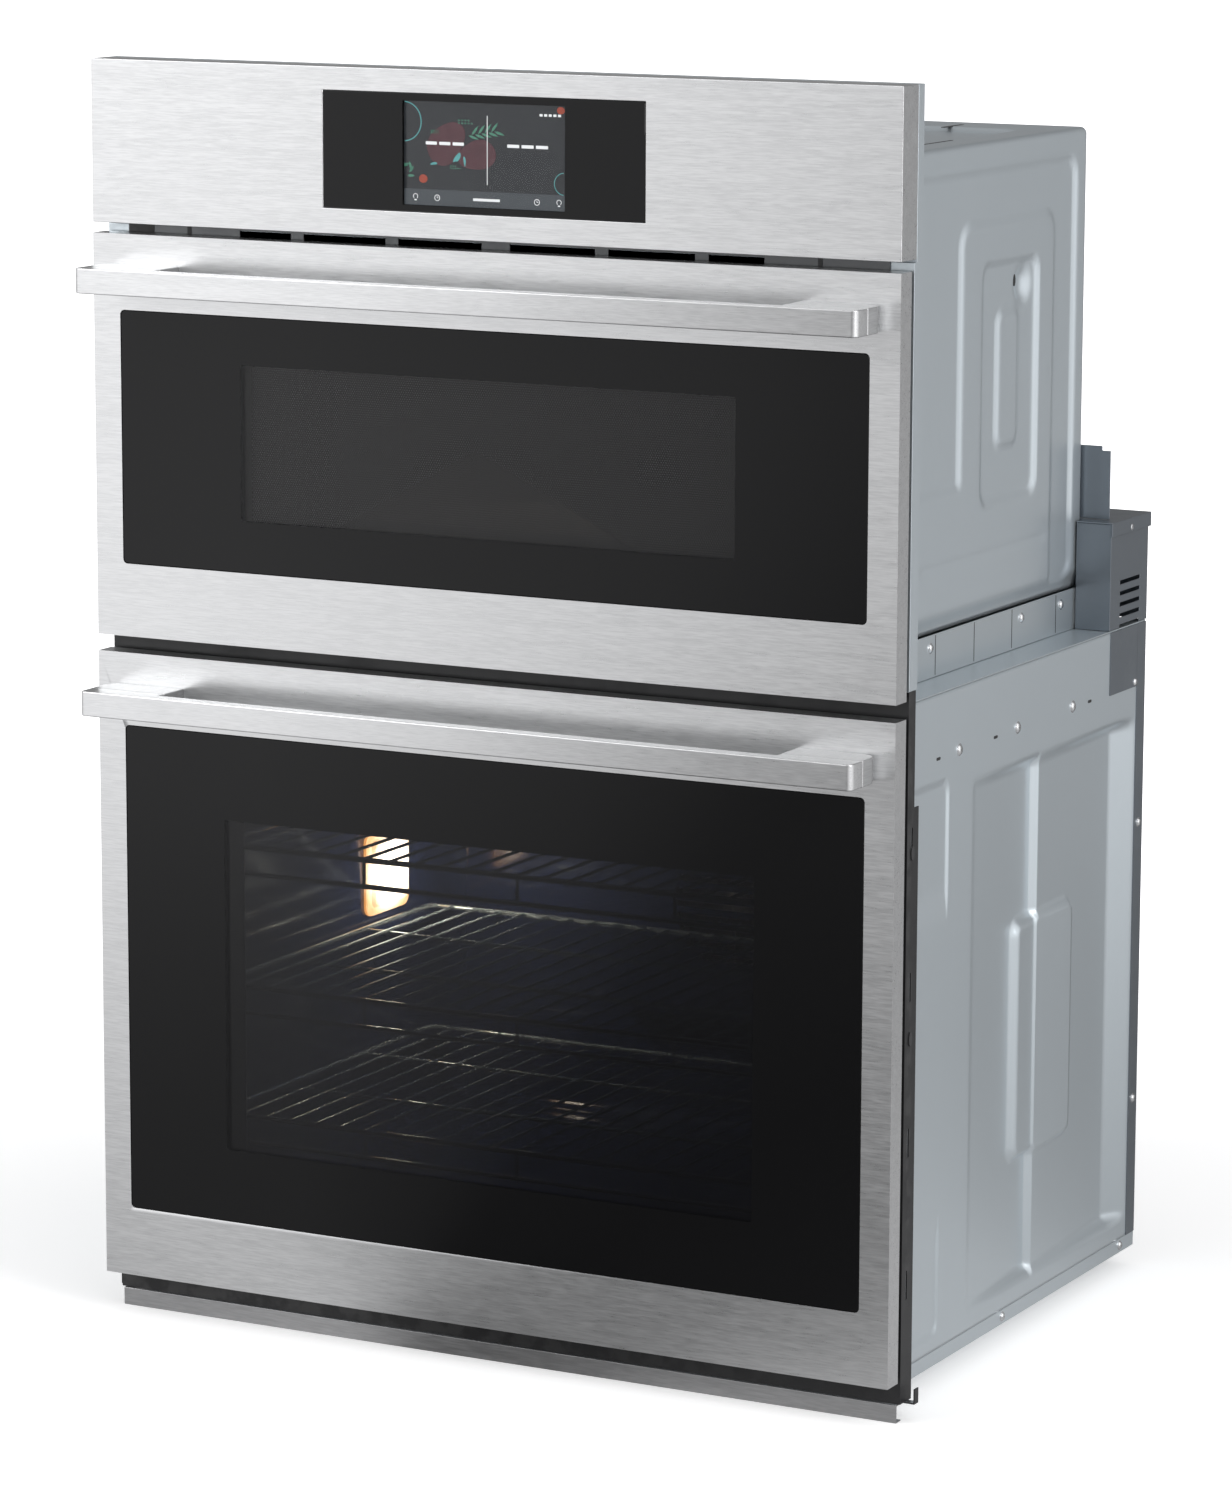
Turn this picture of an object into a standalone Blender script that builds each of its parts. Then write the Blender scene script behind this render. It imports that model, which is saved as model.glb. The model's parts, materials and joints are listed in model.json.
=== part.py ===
"""A 30-inch combination double wall oven: a speed oven above a full oven, in one built-in chassis.

Metres, +Z up. The front faces -Y. The origin is under the middle of the bounding box, level with the
lower edge of the bottom trim. In the drawing helpers below a depth is measured back from the front
plane of the stainless doors, so a handle has a negative depth.
"""

import math

import bmesh
import bpy
import numpy as np
from mathutils import Matrix, Vector

# Overall sizes
FRONT_WIDTH = 0.756
HANDLE_REACH = 0.0524
CHASSIS_DEPTH = 0.575

# Front, from the bottom up
TRIM_DROP = 0.0355
LOWER_DOOR_HEIGHT = 0.5529
DOOR_GAP = 0.0143
UPPER_DOOR_HEIGHT = 0.3452
VENT_GAP = 0.009
STEP_GAP = 0.0025
FASCIA_HEIGHT = 0.1381

# Sheet metal and clearances
SHEET = 0.0012
FIT = 0.0003
RUN = 0.003

# Cases
LOWER_CASE_INSET = 0.0195
UPPER_CASE_INSET = 0.054
BASE_LIFT = 0.0182
DECK_RISE = 0.0045
LOWER_CASE_REAR = 0.005
BASE_RAIL = 0.0128
UPPER_RAIL = 0.0366
UPPER_CASE_HEIGHT = 0.4396
UPPER_CASE_REAR = 0.072
DUCT_HEIGHT = 0.0946
DUCT_START = 0.088
DUCT_REAR = 0.003
CAP_SKIRT = 0.0127
SHIELD_HEIGHT = 0.065
SHIELD_INSET = 0.029
EMBOSS = 0.010

# Front frames, doors and fascia
FRAME_START = 0.025
FRAME_RETURN = 0.0466
FRAME_RETURN_TOP = 0.038
UPPER_FRAME_RETURN = 0.0405
FASCIA_DEPTH = 0.029
SKIN_DEPTH = 0.020
GLASS = 0.004
GLASS_BORDER = 0.0265
LOWER_GLASS_BOTTOM = 0.061
LOWER_GLASS_TOP = 0.063
UPPER_GLASS_BOTTOM = 0.063
UPPER_GLASS_TOP = 0.0644
PLUG_DEPTH = 0.040
WINDOW_RIM = 0.045
HINGE_DEPTH = 0.015
HINGE_RISE = 0.0085
BRACKET_REACH = 0.018

# Handles
HANDLE_INSET = 0.0141
HANDLE_HEIGHT = 0.0215
HANDLE_BAR = 0.013
HANDLE_POST = 0.072
UPPER_HANDLE_DROP = 0.0254
LOWER_HANDLE_DROP = 0.0269

# Control panel
DISPLAY_WIDTH = 0.3012
DISPLAY_HEIGHT = 0.0975
DISPLAY_RISE = 0.0212
SLOT_WIDTHS = (0.050, 0.079, 0.079)
SLOT_GAP = 0.0124
SLOT_HEIGHT = 0.008
SLOT_RISE = 0.0012

# Cooking spaces
LOWER_CAVITY_INSET = 0.0535
LOWER_CAVITY_FLOOR = 0.0795
LOWER_CAVITY_DROP = 0.0607
LOWER_CAVITY_DEPTH = 0.470
UPPER_CAVITY_INSET = 0.059
UPPER_CAVITY_FLOOR = 0.0362
UPPER_CAVITY_HEIGHT = 0.240
UPPER_CAVITY_DEPTH = 0.410
LINER = 0.0016
LEDGE = 0.010
RACK_SHARES = (0.177, 0.4465, 0.735)
RACK_SLIDES = (0.080, 0.150, 0.185)
RACK_GAUGE = 0.004
RACK_FRONT = 0.018
RACK_REAR = 0.055
RACK_SLOTS = 16

# Machinery
LATCH_REACH = 0.045
TRAY_RADIUS = 0.165
TRAY_RISE = 0.016
ROLLER_RADIUS = 0.0065
FAN_RADIUS = 0.066
FAN_COVER = 0.030
BLOWER_RADIUS = 0.036
BLOWER_LENGTH = 0.110
LAMP_SIZE = 0.078
LAMP_DEPTH = 0.325

# Levels and half widths that follow from the sizes above
FACE_Y = HANDLE_REACH - (HANDLE_REACH + CHASSIS_DEPTH) / 2
FRONT = FRONT_WIDTH / 2
LOWER_DOOR = (TRIM_DROP, TRIM_DROP + LOWER_DOOR_HEIGHT)
UPPER_DOOR = (LOWER_DOOR[1] + DOOR_GAP, LOWER_DOOR[1] + DOOR_GAP + UPPER_DOOR_HEIGHT)
FASCIA = (UPPER_DOOR[1] + VENT_GAP, UPPER_DOOR[1] + VENT_GAP + FASCIA_HEIGHT)
LOWER_CASE = FRONT - LOWER_CASE_INSET
UPPER_CASE = FRONT - UPPER_CASE_INSET
LOWER_REAR = CHASSIS_DEPTH - LOWER_CASE_REAR
UPPER_REAR = CHASSIS_DEPTH - UPPER_CASE_REAR
DECK = LOWER_DOOR[1] + DECK_RISE
RAIL_TOP = DECK + UPPER_RAIL
UPPER_CASE_TOP = DECK + UPPER_CASE_HEIGHT
FRAME_BACK = FRAME_START + SHEET
FRAME_SPLIT = (LOWER_DOOR[1] + UPPER_DOOR[0]) / 2 + DOOR_GAP
LOWER_CAVITY = LOWER_CASE - LOWER_CAVITY_INSET
LOWER_FLOOR = BASE_LIFT + LOWER_CAVITY_FLOOR
LOWER_ROOF = LOWER_DOOR[1] - LOWER_CAVITY_DROP
LOWER_CAVITY_HEIGHT = LOWER_ROOF - LOWER_FLOOR
LOWER_BACK = FRAME_BACK + FIT + LOWER_CAVITY_DEPTH
UPPER_CAVITY = UPPER_CASE - UPPER_CAVITY_INSET
UPPER_FLOOR = RAIL_TOP + UPPER_CAVITY_FLOOR
UPPER_ROOF = UPPER_FLOOR + UPPER_CAVITY_HEIGHT
UPPER_BACK = FRAME_BACK + FIT + UPPER_CAVITY_DEPTH
TRAY_DEPTH = (UPPER_BACK + PLUG_DEPTH) / 2
LOWER_HINGE = LOWER_DOOR[0] + HINGE_RISE
UPPER_HINGE = UPPER_DOOR[0] + HINGE_RISE
LATCH_LEVEL = (LOWER_ROOF + LOWER_DOOR[1]) / 2 + 0.002
LATCH_DEPTH = FRAME_BACK + 0.034
FAN_LEVEL = LOWER_FLOOR + LOWER_CAVITY_HEIGHT * 0.5
RACK_HEIGHTS = [share * LOWER_CAVITY_HEIGHT for share in RACK_SHARES]

STAINLESS = ((0.62, 0.62, 0.61), 0.3, 1.0)
CASE_STEEL = ((0.45, 0.48, 0.50), 0.45, 0.7)
DARK_STEEL = ((0.16, 0.17, 0.18), 0.5, 0.7)
BLACK_FRAME = ((0.012, 0.012, 0.013), 0.45, 0.2)
BLACK_GLASS = ((0.012, 0.012, 0.013), 0.05, 0.0)
CLEAR_GLASS = ((0.25, 0.27, 0.27), 0.05, 0.0)
ENAMEL = ((0.015, 0.018, 0.03), 0.2, 0.0)
CHROME = ((0.75, 0.76, 0.77), 0.15, 1.0)
ELEMENT = ((0.06, 0.055, 0.05), 0.5, 0.4)
SEAL = ((0.10, 0.10, 0.10), 0.9, 0.0)
PLASTIC = ((0.05, 0.05, 0.055), 0.5, 0.0)
SCREEN = ((0.05, 0.10, 0.13), 0.2, 0.0)
BOARD = ((0.03, 0.16, 0.07), 0.5, 0.0)
LAMP = ((0.95, 0.85, 0.6), 0.1, 0.0)

scene_objects = list(bpy.data.objects)
for leftover in scene_objects:
    bpy.data.objects.remove(leftover)


def finish_of(name, look):
    """A plain material of the given colour, roughness and metallic value."""
    colour, roughness, metallic = look
    material = bpy.data.materials.new(name)
    material.use_nodes = True
    shader = material.node_tree.nodes["Principled BSDF"]
    shader.inputs["Base Color"].default_value = (*colour, 1.0)
    shader.inputs["Roughness"].default_value = roughness
    shader.inputs["Metallic"].default_value = metallic
    return material


def place(name, mesh_data, look, pivot=(0.0, 0.0, 0.0)):
    """Links a world-space bmesh as an object whose origin is the pivot."""
    mesh = bpy.data.meshes.new(name)
    bmesh.ops.recalc_face_normals(mesh_data, faces=mesh_data.faces)
    mesh_data.transform(Matrix.Translation(-Vector(pivot)))
    mesh_data.to_mesh(mesh)
    mesh_data.free()
    thing = bpy.data.objects.new(name, mesh)
    thing.location = pivot
    mesh.materials.append(finish_of(name, look))
    bpy.context.scene.collection.objects.link(thing)
    return thing


def box_union(solid, holes=()):
    """A closed bmesh of axis-aligned boxes less the holes, each box as (x0, x1, depth0, depth1, z0, z1)."""
    boxes = np.array([*solid, *holes], float)
    cuts = [np.unique(np.round(boxes[:, [2 * a, 2 * a + 1]], 7)) for a in range(3)]
    centres = [(c[1:] + c[:-1]) / 2 for c in cuts]
    filled = np.zeros([len(c) + 2 for c in centres], bool)
    for number, item in enumerate(boxes):
        inside = [(m > item[2 * a]) & (m < item[2 * a + 1]) for a, m in enumerate(centres)]
        cells = inside[0][:, None, None] & inside[1][None, :, None] & inside[2][None, None, :]
        core = filled[1:-1, 1:-1, 1:-1]
        core[cells] = number < len(solid)
    built = bmesh.new()
    corners = {}

    def corner(index):
        if index not in corners:
            x, d, z = (cuts[a][index[a]] for a in range(3))
            corners[index] = built.verts.new((x, FACE_Y + d, z))
        return corners[index]

    for axis in range(3):
        ahead = np.roll(filled, -1, axis)
        u, v = [a for a in range(3) if a != axis]
        for cell in np.argwhere(filled != ahead):
            if cell[axis] > len(centres[axis]):
                continue
            ring = []
            for du, dv in ((0, 0), (1, 0), (1, 1), (0, 1)):
                index = [0, 0, 0]
                index[axis] = int(cell[axis])
                index[u] = int(cell[u]) - 1 + du
                index[v] = int(cell[v]) - 1 + dv
                ring.append(corner(tuple(index)))
            built.faces.new(ring)
    bmesh.ops.recalc_face_normals(built, faces=built.faces)
    bmesh.ops.dissolve_limit(built, angle_limit=0.001, verts=built.verts, edges=built.edges)
    return built


def add_boxes(name, look, solid, holes=(), pivot=(0.0, 0.0, 0.0)):
    return place(name, box_union(solid, holes), look, pivot)


def add_round(built, radius, start, end, sides=16, inner=0.0):
    """Adds a cylinder, or a tube, between two points to a bmesh."""
    start, end = Vector(start), Vector(end)
    turn = (end - start).to_track_quat("Z", "Y").to_matrix()
    rings = []
    for centre in (start, end):
        for r in (radius, inner) if inner else (radius,):
            angles = [2 * math.pi * i / sides for i in range(sides)]
            points = [centre + turn @ Vector((r * math.cos(a), r * math.sin(a), 0)) for a in angles]
            rings.append([built.verts.new(p) for p in points])
    pairs = [(0, 2), (2, 3), (3, 1), (1, 0)] if inner else [(0, 1)]
    for a, b in pairs:
        for i in range(sides):
            j = (i + 1) % sides
            built.faces.new((rings[a][i], rings[a][j], rings[b][j], rings[b][i]))
    if not inner:
        built.faces.new(rings[0])
        built.faces.new(rings[1])
    return built


def joined(name, look, pieces, pivot=(0.0, 0.0, 0.0)):
    """One object from overlapping closed bmeshes, by Boolean unions with hidden helpers."""
    base = place(name, pieces[0], look, pivot)
    for number, piece in enumerate(pieces[1:]):
        tool(base, f"{name}_part{number}", piece, "UNION")
    return base


def tool(base, name, piece, operation):
    """A hidden helper that a Boolean modifier joins to the base or cuts from it."""
    helper = place(name, piece, STAINLESS)
    helper.hide_render = True
    helper.display_type = "WIRE"
    change = base.modifiers.new(name, "BOOLEAN")
    change.operation = operation
    change.object = helper
    return helper


def at(x, depth, z):
    """The world point at a depth behind the front plane."""
    return Vector((x, FACE_Y + depth, z))


def rounded(thing, width, angle=40, segments=2):
    bevel = thing.modifiers.new("edges", "BEVEL")
    bevel.width = width
    bevel.segments = segments
    bevel.limit_method = "ANGLE"
    bevel.angle_limit = math.radians(angle)
    return thing


def embossed_side(name, sign, outer, rectangles):
    """A pressed side sheet: nested rectangles (depth0, depth1, z0, z1, inset), joined by sloping walls."""
    built = bmesh.new()
    skins = []
    for thickness in (0.0, SHEET):
        rings = []
        for d0, d1, z0, z1, inset in rectangles:
            x = sign * (outer - inset - thickness)
            corners = ((d0, z0), (d1, z0), (d1, z1), (d0, z1))
            rings.append([built.verts.new(at(x, d, z)) for d, z in corners])
        for inner, nearer in zip(rings[1:], rings):
            for i in range(4):
                j = (i + 1) % 4
                built.faces.new((nearer[i], nearer[j], inner[j], inner[i]))
        built.faces.new(rings[-1])
        skins.append(rings[0])
    for i in range(4):
        j = (i + 1) % 4
        built.faces.new((skins[0][i], skins[0][j], skins[1][j], skins[1][i]))
    return place(name, built, CASE_STEEL)


def heating_tube(name, points, radius, look=ELEMENT):
    """A bent heating element along a list of points."""
    curve = bpy.data.curves.new(name, "CURVE")
    curve.dimensions = "3D"
    curve.bevel_depth = radius
    curve.bevel_resolution = 1
    curve.use_fill_caps = True
    spline = curve.splines.new("POLY")
    spline.points.add(len(points) - 1)
    for target, point in zip(spline.points, points):
        target.co = (*point, 1.0)
    thing = bpy.data.objects.new(name, curve)
    curve.materials.append(finish_of(name, look))
    bpy.context.scene.collection.objects.link(thing)
    return thing


def meander(half_width, near, far, level, runs, steps=6):
    """Points of a tube that enters at the back and sweeps to and fro across the width."""
    pitch = 2 * half_width / (runs - 1)
    bend = pitch / 2
    points = [at(-half_width, far + 0.02, level)]
    for run in range(runs):
        x = -half_width + run * pitch
        towards_front = run % 2 == 0
        end = near + bend if towards_front else far - bend
        points.append(at(x, end, level))
        if run == runs - 1:
            break
        for i in range(1, steps):
            angle = math.pi * i / steps
            reach = math.sin(angle) * bend * (-1 if towards_front else 1)
            points.append(at(x + bend - bend * math.cos(angle), end + reach, level))
        points.append(at(x + pitch, end, level))
    points[-1] = at(half_width, far + 0.02, level)
    return points


def lower_case():
    side_z = (BASE_LIFT + BASE_RAIL + FIT, DECK - SHEET - FIT)
    start = FRAME_BACK + FIT
    rear = LOWER_REAR - SHEET - FIT
    floor_d = (start + 0.155, rear - 0.018)
    rim_z = (side_z[0] + 0.012, LOWER_DOOR[1] - 0.078)
    pad_d = (floor_d[0] + 0.10, floor_d[1] - 0.11)
    pad_z = (TRIM_DROP + 0.123, TRIM_DROP + 0.334)
    rectangles = [
        (start, rear, *side_z, 0.0),
        (floor_d[0], floor_d[1], *rim_z, 0.0),
        (floor_d[0] + 0.08, floor_d[1] - EMBOSS, rim_z[0] + EMBOSS, rim_z[1] - EMBOSS, EMBOSS),
        (pad_d[0], pad_d[1], pad_z[0], pad_z[1], EMBOSS),
        (pad_d[0] + 0.012, pad_d[1] - 0.012, pad_z[0] + 0.012, pad_z[1] - 0.012, EMBOSS / 2),
    ]
    embossed_side("lower_side_left", -1, LOWER_CASE, rectangles)
    embossed_side("lower_side_right", 1, LOWER_CASE, rectangles)
    lip = SHEET
    add_boxes(
        "base_pan",
        CASE_STEEL,
        [(-LOWER_CASE, LOWER_CASE, start, LOWER_REAR, BASE_LIFT, BASE_LIFT + BASE_RAIL)],
        [(lip - LOWER_CASE, LOWER_CASE - lip, start + lip, LOWER_REAR - lip, BASE_LIFT + lip, DECK)],
    )
    add_boxes(
        "lower_deck",
        CASE_STEEL,
        [(-LOWER_CASE, LOWER_CASE, start, LOWER_REAR, DECK - SHEET, DECK)],
    )
    back = [(-LOWER_CASE, LOWER_CASE, LOWER_REAR - SHEET, LOWER_REAR, *side_z)]
    slots = []
    for row in range(6):
        z = DECK - 0.06 - 0.012 * row
        for x in (-0.22, 0.10):
            slots.append((x, x + 0.12, 0, 1, z, z + 0.004))
    service = (-0.05, 0.05, 0, 1, FAN_LEVEL - 0.05, FAN_LEVEL + 0.05)
    add_boxes("lower_back_panel", CASE_STEEL, back, [*slots, service])


def rear_duct():
    rear = CHASSIS_DEPTH - DUCT_REAR
    start = CHASSIS_DEPTH - DUCT_START
    ear = UPPER_CASE + 0.0015
    z = (DECK + FIT, DECK + DUCT_HEIGHT)
    solid = [(-LOWER_CASE, LOWER_CASE, rear - SHEET, rear, *z)]
    holes = []
    for sign in (-1, 1):
        wall = sorted((sign * LOWER_CASE, sign * (LOWER_CASE - SHEET)))
        front = sorted((sign * LOWER_CASE, sign * ear))
        solid.append((*wall, start, rear, *z))
        solid.append((*front, start, start + SHEET, *z))
        for row in range(5):
            low = DECK - 0.0101 + 0.0098 * (row + 1)
            holes.append((*wall, start + 0.0225, start + 0.0675, low, low + 0.0035))
    for row in range(4):
        low = z[0] + 0.02 + 0.014 * row
        for x in (-0.25, 0.09):
            holes.append((x, x + 0.16, rear - SHEET, rear, low, low + 0.005))
    add_boxes("rear_duct_box", DARK_STEEL, solid, holes)
    wide = LOWER_CASE + FIT + SHEET
    top = z[1] + FIT + SHEET
    skirt = (start + SHEET + FIT, top - CAP_SKIRT)
    add_boxes(
        "rear_duct_cap",
        DARK_STEEL,
        [(-wide, wide, start - SHEET, CHASSIS_DEPTH, top - CAP_SKIRT, top)],
        [
            (SHEET - wide, wide - SHEET, start - 1, CHASSIS_DEPTH - SHEET, skirt[1] - 1, top - SHEET),
            (-ear, ear, start - 1, UPPER_REAR + FIT, skirt[1] - 1, top + 1),
        ],
    )
    half = LOWER_CASE + 0.0195 - SHIELD_INSET
    shield_z = (top + FIT, top + SHIELD_HEIGHT)
    shield_d = (UPPER_REAR + 0.0015, UPPER_REAR + 0.0015 + SHEET)
    notches = [(s * half - 0.008, s * half + 0.008, 0, 1, shield_z[1] - 0.004, shield_z[1]) for s in (-1, 1)]
    add_boxes("rear_shield", DARK_STEEL, [(-half, half, *shield_d, *shield_z)], notches)


def mouth(half, floor, roof):
    """The hole that a cavity needs in the front frame."""
    return (-half, half, 0, 0.2, floor, roof)


def hinge_places(case):
    return [side * (case - 0.014) for side in (-1, 1)]


def hinge_slots(case, level):
    """Frame slots that the hinge brackets pass through."""
    width = 0.0025
    return [(x - width, x + width, 0, 0.2, level - 0.0065, level + 0.0065) for x in hinge_places(case)]


def front_frames():
    plate = (FRAME_START, FRAME_BACK)
    base = BASE_LIFT - 0.0022
    split = LOWER_DOOR[1] - 0.0749
    solid = [(-FRONT, FRONT, *plate, base, FRAME_SPLIT - FIT)]
    for sign in (-1, 1):
        wall = sorted((sign * FRONT, sign * (FRONT - SHEET)))
        solid.append((*wall, FRAME_START, FRAME_RETURN, base, split))
        solid.append((*wall, FRAME_START, FRAME_RETURN_TOP, split, FRAME_SPLIT - FIT))
    holes = [
        mouth(LOWER_CAVITY, LOWER_FLOOR, LOWER_ROOF),
        *hinge_slots(LOWER_CASE, LOWER_HINGE),
        *hinge_slots(UPPER_CASE, UPPER_HINGE),
    ]
    holes.append((-0.010, 0.038, 0, 0.2, LATCH_LEVEL - 0.005, LATCH_LEVEL + 0.005))
    for sign in (-1, 1):
        wall = sorted((sign * (FRONT + 0.01), sign * (FRONT - 0.01)))
        for level in (0.08, 0.20, 0.33, 0.45):
            z = TRIM_DROP + level
            holes.append((*wall, FRAME_START + 0.008, FRAME_START + 0.0105, z - 0.012, z + 0.012))
    add_boxes("lower_front_frame", BLACK_FRAME, solid, holes)

    step = FASCIA[0] - STEP_GAP
    high = (FASCIA_DEPTH + FIT, FASCIA_DEPTH + FIT + SHEET)
    solid = [
        (-FRONT, FRONT, *plate, FRAME_SPLIT, step),
        (-FRONT, FRONT, FRAME_START, high[1], step - SHEET, step),
        (-FRONT, FRONT, *high, step - SHEET, FASCIA[1]),
        (-FRONT, FRONT, high[0], UPPER_FRAME_RETURN, FASCIA[1] - SHEET, FASCIA[1]),
    ]
    for sign in (-1, 1):
        wall = sorted((sign * FRONT, sign * (FRONT - SHEET)))
        solid.append((*wall, FRAME_START, UPPER_FRAME_RETURN, FRAME_SPLIT, step))
        solid.append((*wall, high[0], UPPER_FRAME_RETURN, step - SHEET, FASCIA[1]))
    display = DISPLAY_WIDTH / 2 - 0.006
    display_z = FASCIA[0] + DISPLAY_RISE
    holes = [
        mouth(UPPER_CAVITY, UPPER_FLOOR, UPPER_ROOF),
        *hinge_slots(UPPER_CASE, UPPER_HINGE),
        (-0.29, 0.29, 0, 0.2, UPPER_DOOR[1] - 0.012, step - SHEET - 0.0006),
        (-display, display, 0, 0.2, display_z + 0.006, display_z + DISPLAY_HEIGHT - 0.006),
    ]
    add_boxes("upper_front_frame", CASE_STEEL, solid, holes)


def trims():
    wide = FRONT - 0.0027
    face = (0.0235, 0.0235 + SHEET)
    shelf = BASE_LIFT - 0.0027
    tab = FRONT + 0.008
    solid = [
        (-wide, wide, *face, 0, shelf),
        (-wide, wide, face[0], 0.045, shelf - SHEET, shelf),
        (-wide, wide, face[0], 0.033, 0, SHEET),
        (-tab, tab, 0.036, 0.044, shelf - SHEET, shelf),
    ]
    for sign in (-1, 1):
        solid.append((*sorted((sign * tab, sign * (tab - SHEET))), 0.036, 0.044, shelf - SHEET, shelf + 0.012))
    add_boxes("bottom_trim", STAINLESS, solid)
    slots = []
    for sign in (-1, 1):
        edge = 0.0133
        for width in reversed(SLOT_WIDTHS):
            slots.append((*sorted((sign * edge, sign * (edge + width))), 0, 1, 0.0, 2.0))
            edge += width + SLOT_GAP
    level = UPPER_DOOR[1] + SLOT_RISE
    slots = [(x0, x1, d0, d1, level - SLOT_HEIGHT / 2, level + SLOT_HEIGHT / 2) for x0, x1, d0, d1, _, _ in slots]
    strip = (FRAME_START - FIT - SHEET, FRAME_START - FIT)
    half = FRONT - 0.021
    add_boxes(
        "vent_grille",
        CASE_STEEL,
        [(-half, half, *strip, UPPER_DOOR[1] - 0.014, FASCIA[0] - FIT)],
        slots,
    )


def control_panel():
    inner = (SHEET - FRONT, FRONT - SHEET)
    display = DISPLAY_WIDTH / 2
    z = (FASCIA[0] + DISPLAY_RISE, FASCIA[0] + DISPLAY_RISE + DISPLAY_HEIGHT)
    add_boxes(
        "control_fascia",
        STAINLESS,
        [(-FRONT, FRONT, 0, FASCIA_DEPTH, *FASCIA)],
        [
            (*inner, SHEET, 1, FASCIA[0] + SHEET, FASCIA[1] - SHEET),
            (-display, display, -1, 1, *z),
        ],
    )
    gap = FIT
    add_boxes(
        "control_glass",
        BLACK_GLASS,
        [(gap - display, display - gap, 0, 0.003, z[0] + gap, z[1] - gap)],
    )
    module = display - 0.008
    add_boxes(
        "display_module",
        SCREEN,
        [
            (-module, module, 0.0033, 0.009, z[0] + 0.004, z[1] - 0.004),
            (-module + 0.02, module - 0.02, 0.009, 0.0125, z[0] + 0.012, z[1] - 0.012),
        ],
    )
    board = [(-module, module, 0.016, 0.0176, z[0] + 0.008, z[1] - 0.008)]
    for number in range(5):
        x = -0.11 + 0.048 * number
        board.append((x, x + 0.026, 0.0176, 0.0226 + 0.0006 * number, z[0] + 0.02, z[0] + 0.05))
    board.append((-0.12, 0.02, 0.0176, 0.024, z[0] + 0.058, z[0] + 0.068))
    add_boxes("control_board", BOARD, board)


def ledge_level(height):
    return LOWER_FLOOR + height - FIT


def lower_oven():
    back = LOWER_BACK
    start = FRAME_BACK + FIT
    wall = LINER
    solid = [(-LOWER_CAVITY - wall, LOWER_CAVITY + wall, start, back + wall, LOWER_FLOOR - wall, LOWER_ROOF + wall)]
    inside = (-LOWER_CAVITY, LOWER_CAVITY, start - 1, back, LOWER_FLOOR, LOWER_ROOF)
    shell = box_union(solid, [inside, (-0.007, 0.007, 0, 1, FAN_LEVEL - 0.007, FAN_LEVEL + 0.007)])
    liner = place("lower_cavity", shell, ENAMEL)
    ledges = []
    for height in RACK_HEIGHTS:
        z = ledge_level(height)
        for sign in (-1, 1):
            x = sorted((sign * (LOWER_CAVITY + wall / 2), sign * (LOWER_CAVITY - LEDGE)))
            ledges.append((*x, PLUG_DEPTH + 0.0065, back - 0.030, z - 0.009, z))
    for number, ledge in enumerate(ledges):
        tool(liner, f"ledge{number}", box_union([ledge]), "UNION")
    lens_x = -LOWER_CAVITY + FIT
    lens_d = (LAMP_DEPTH, LAMP_DEPTH + LAMP_SIZE)
    lens_low = ledge_level(RACK_HEIGHTS[1]) + 0.010
    lens_z = (lens_low, lens_low + LAMP_SIZE)
    add_boxes(
        "oven_lamp",
        LAMP,
        [
            (lens_x, lens_x + 0.004, *lens_d, *lens_z),
            (lens_x, lens_x + 0.009, lens_d[0] + 0.006, lens_d[1] - 0.006, lens_z[0] + 0.006, lens_z[1] - 0.006),
        ],
    )
    rim = 0.007
    add_boxes(
        "lower_gasket",
        SEAL,
        [(-LOWER_CAVITY - 0.012, LOWER_CAVITY + 0.012, FRAME_START - 0.0032, FRAME_START - FIT,
          LOWER_FLOOR - 0.012, LOWER_ROOF + 0.012)],
        [(rim - LOWER_CAVITY - 0.012, LOWER_CAVITY + 0.012 - rim, 0, 1,
          LOWER_FLOOR - 0.012 + rim, LOWER_ROOF + 0.012 - rim)],
    )
    heating_tube("broil_element", meander(0.20, 0.12, back - 0.06, LOWER_ROOF - 0.022, 6), 0.0033)
    under = LOWER_FLOOR - LINER - 0.012
    heating_tube("bake_element", meander(0.22, 0.10, back - 0.05, under, 4), 0.0033)
    probe = add_round(bmesh.new(), 0.0030, at(0.20, back - 0.06, LOWER_ROOF - 0.05), at(0.20, back - FIT, LOWER_ROOF - 0.05), 8)
    flange = box_union([(0.19, 0.21, back - 0.0018, back - FIT, LOWER_ROOF - 0.056, LOWER_ROOF - 0.044)])
    joined("temperature_sensor", CHROME, [probe, flange])
    fan_and_cover()


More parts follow.
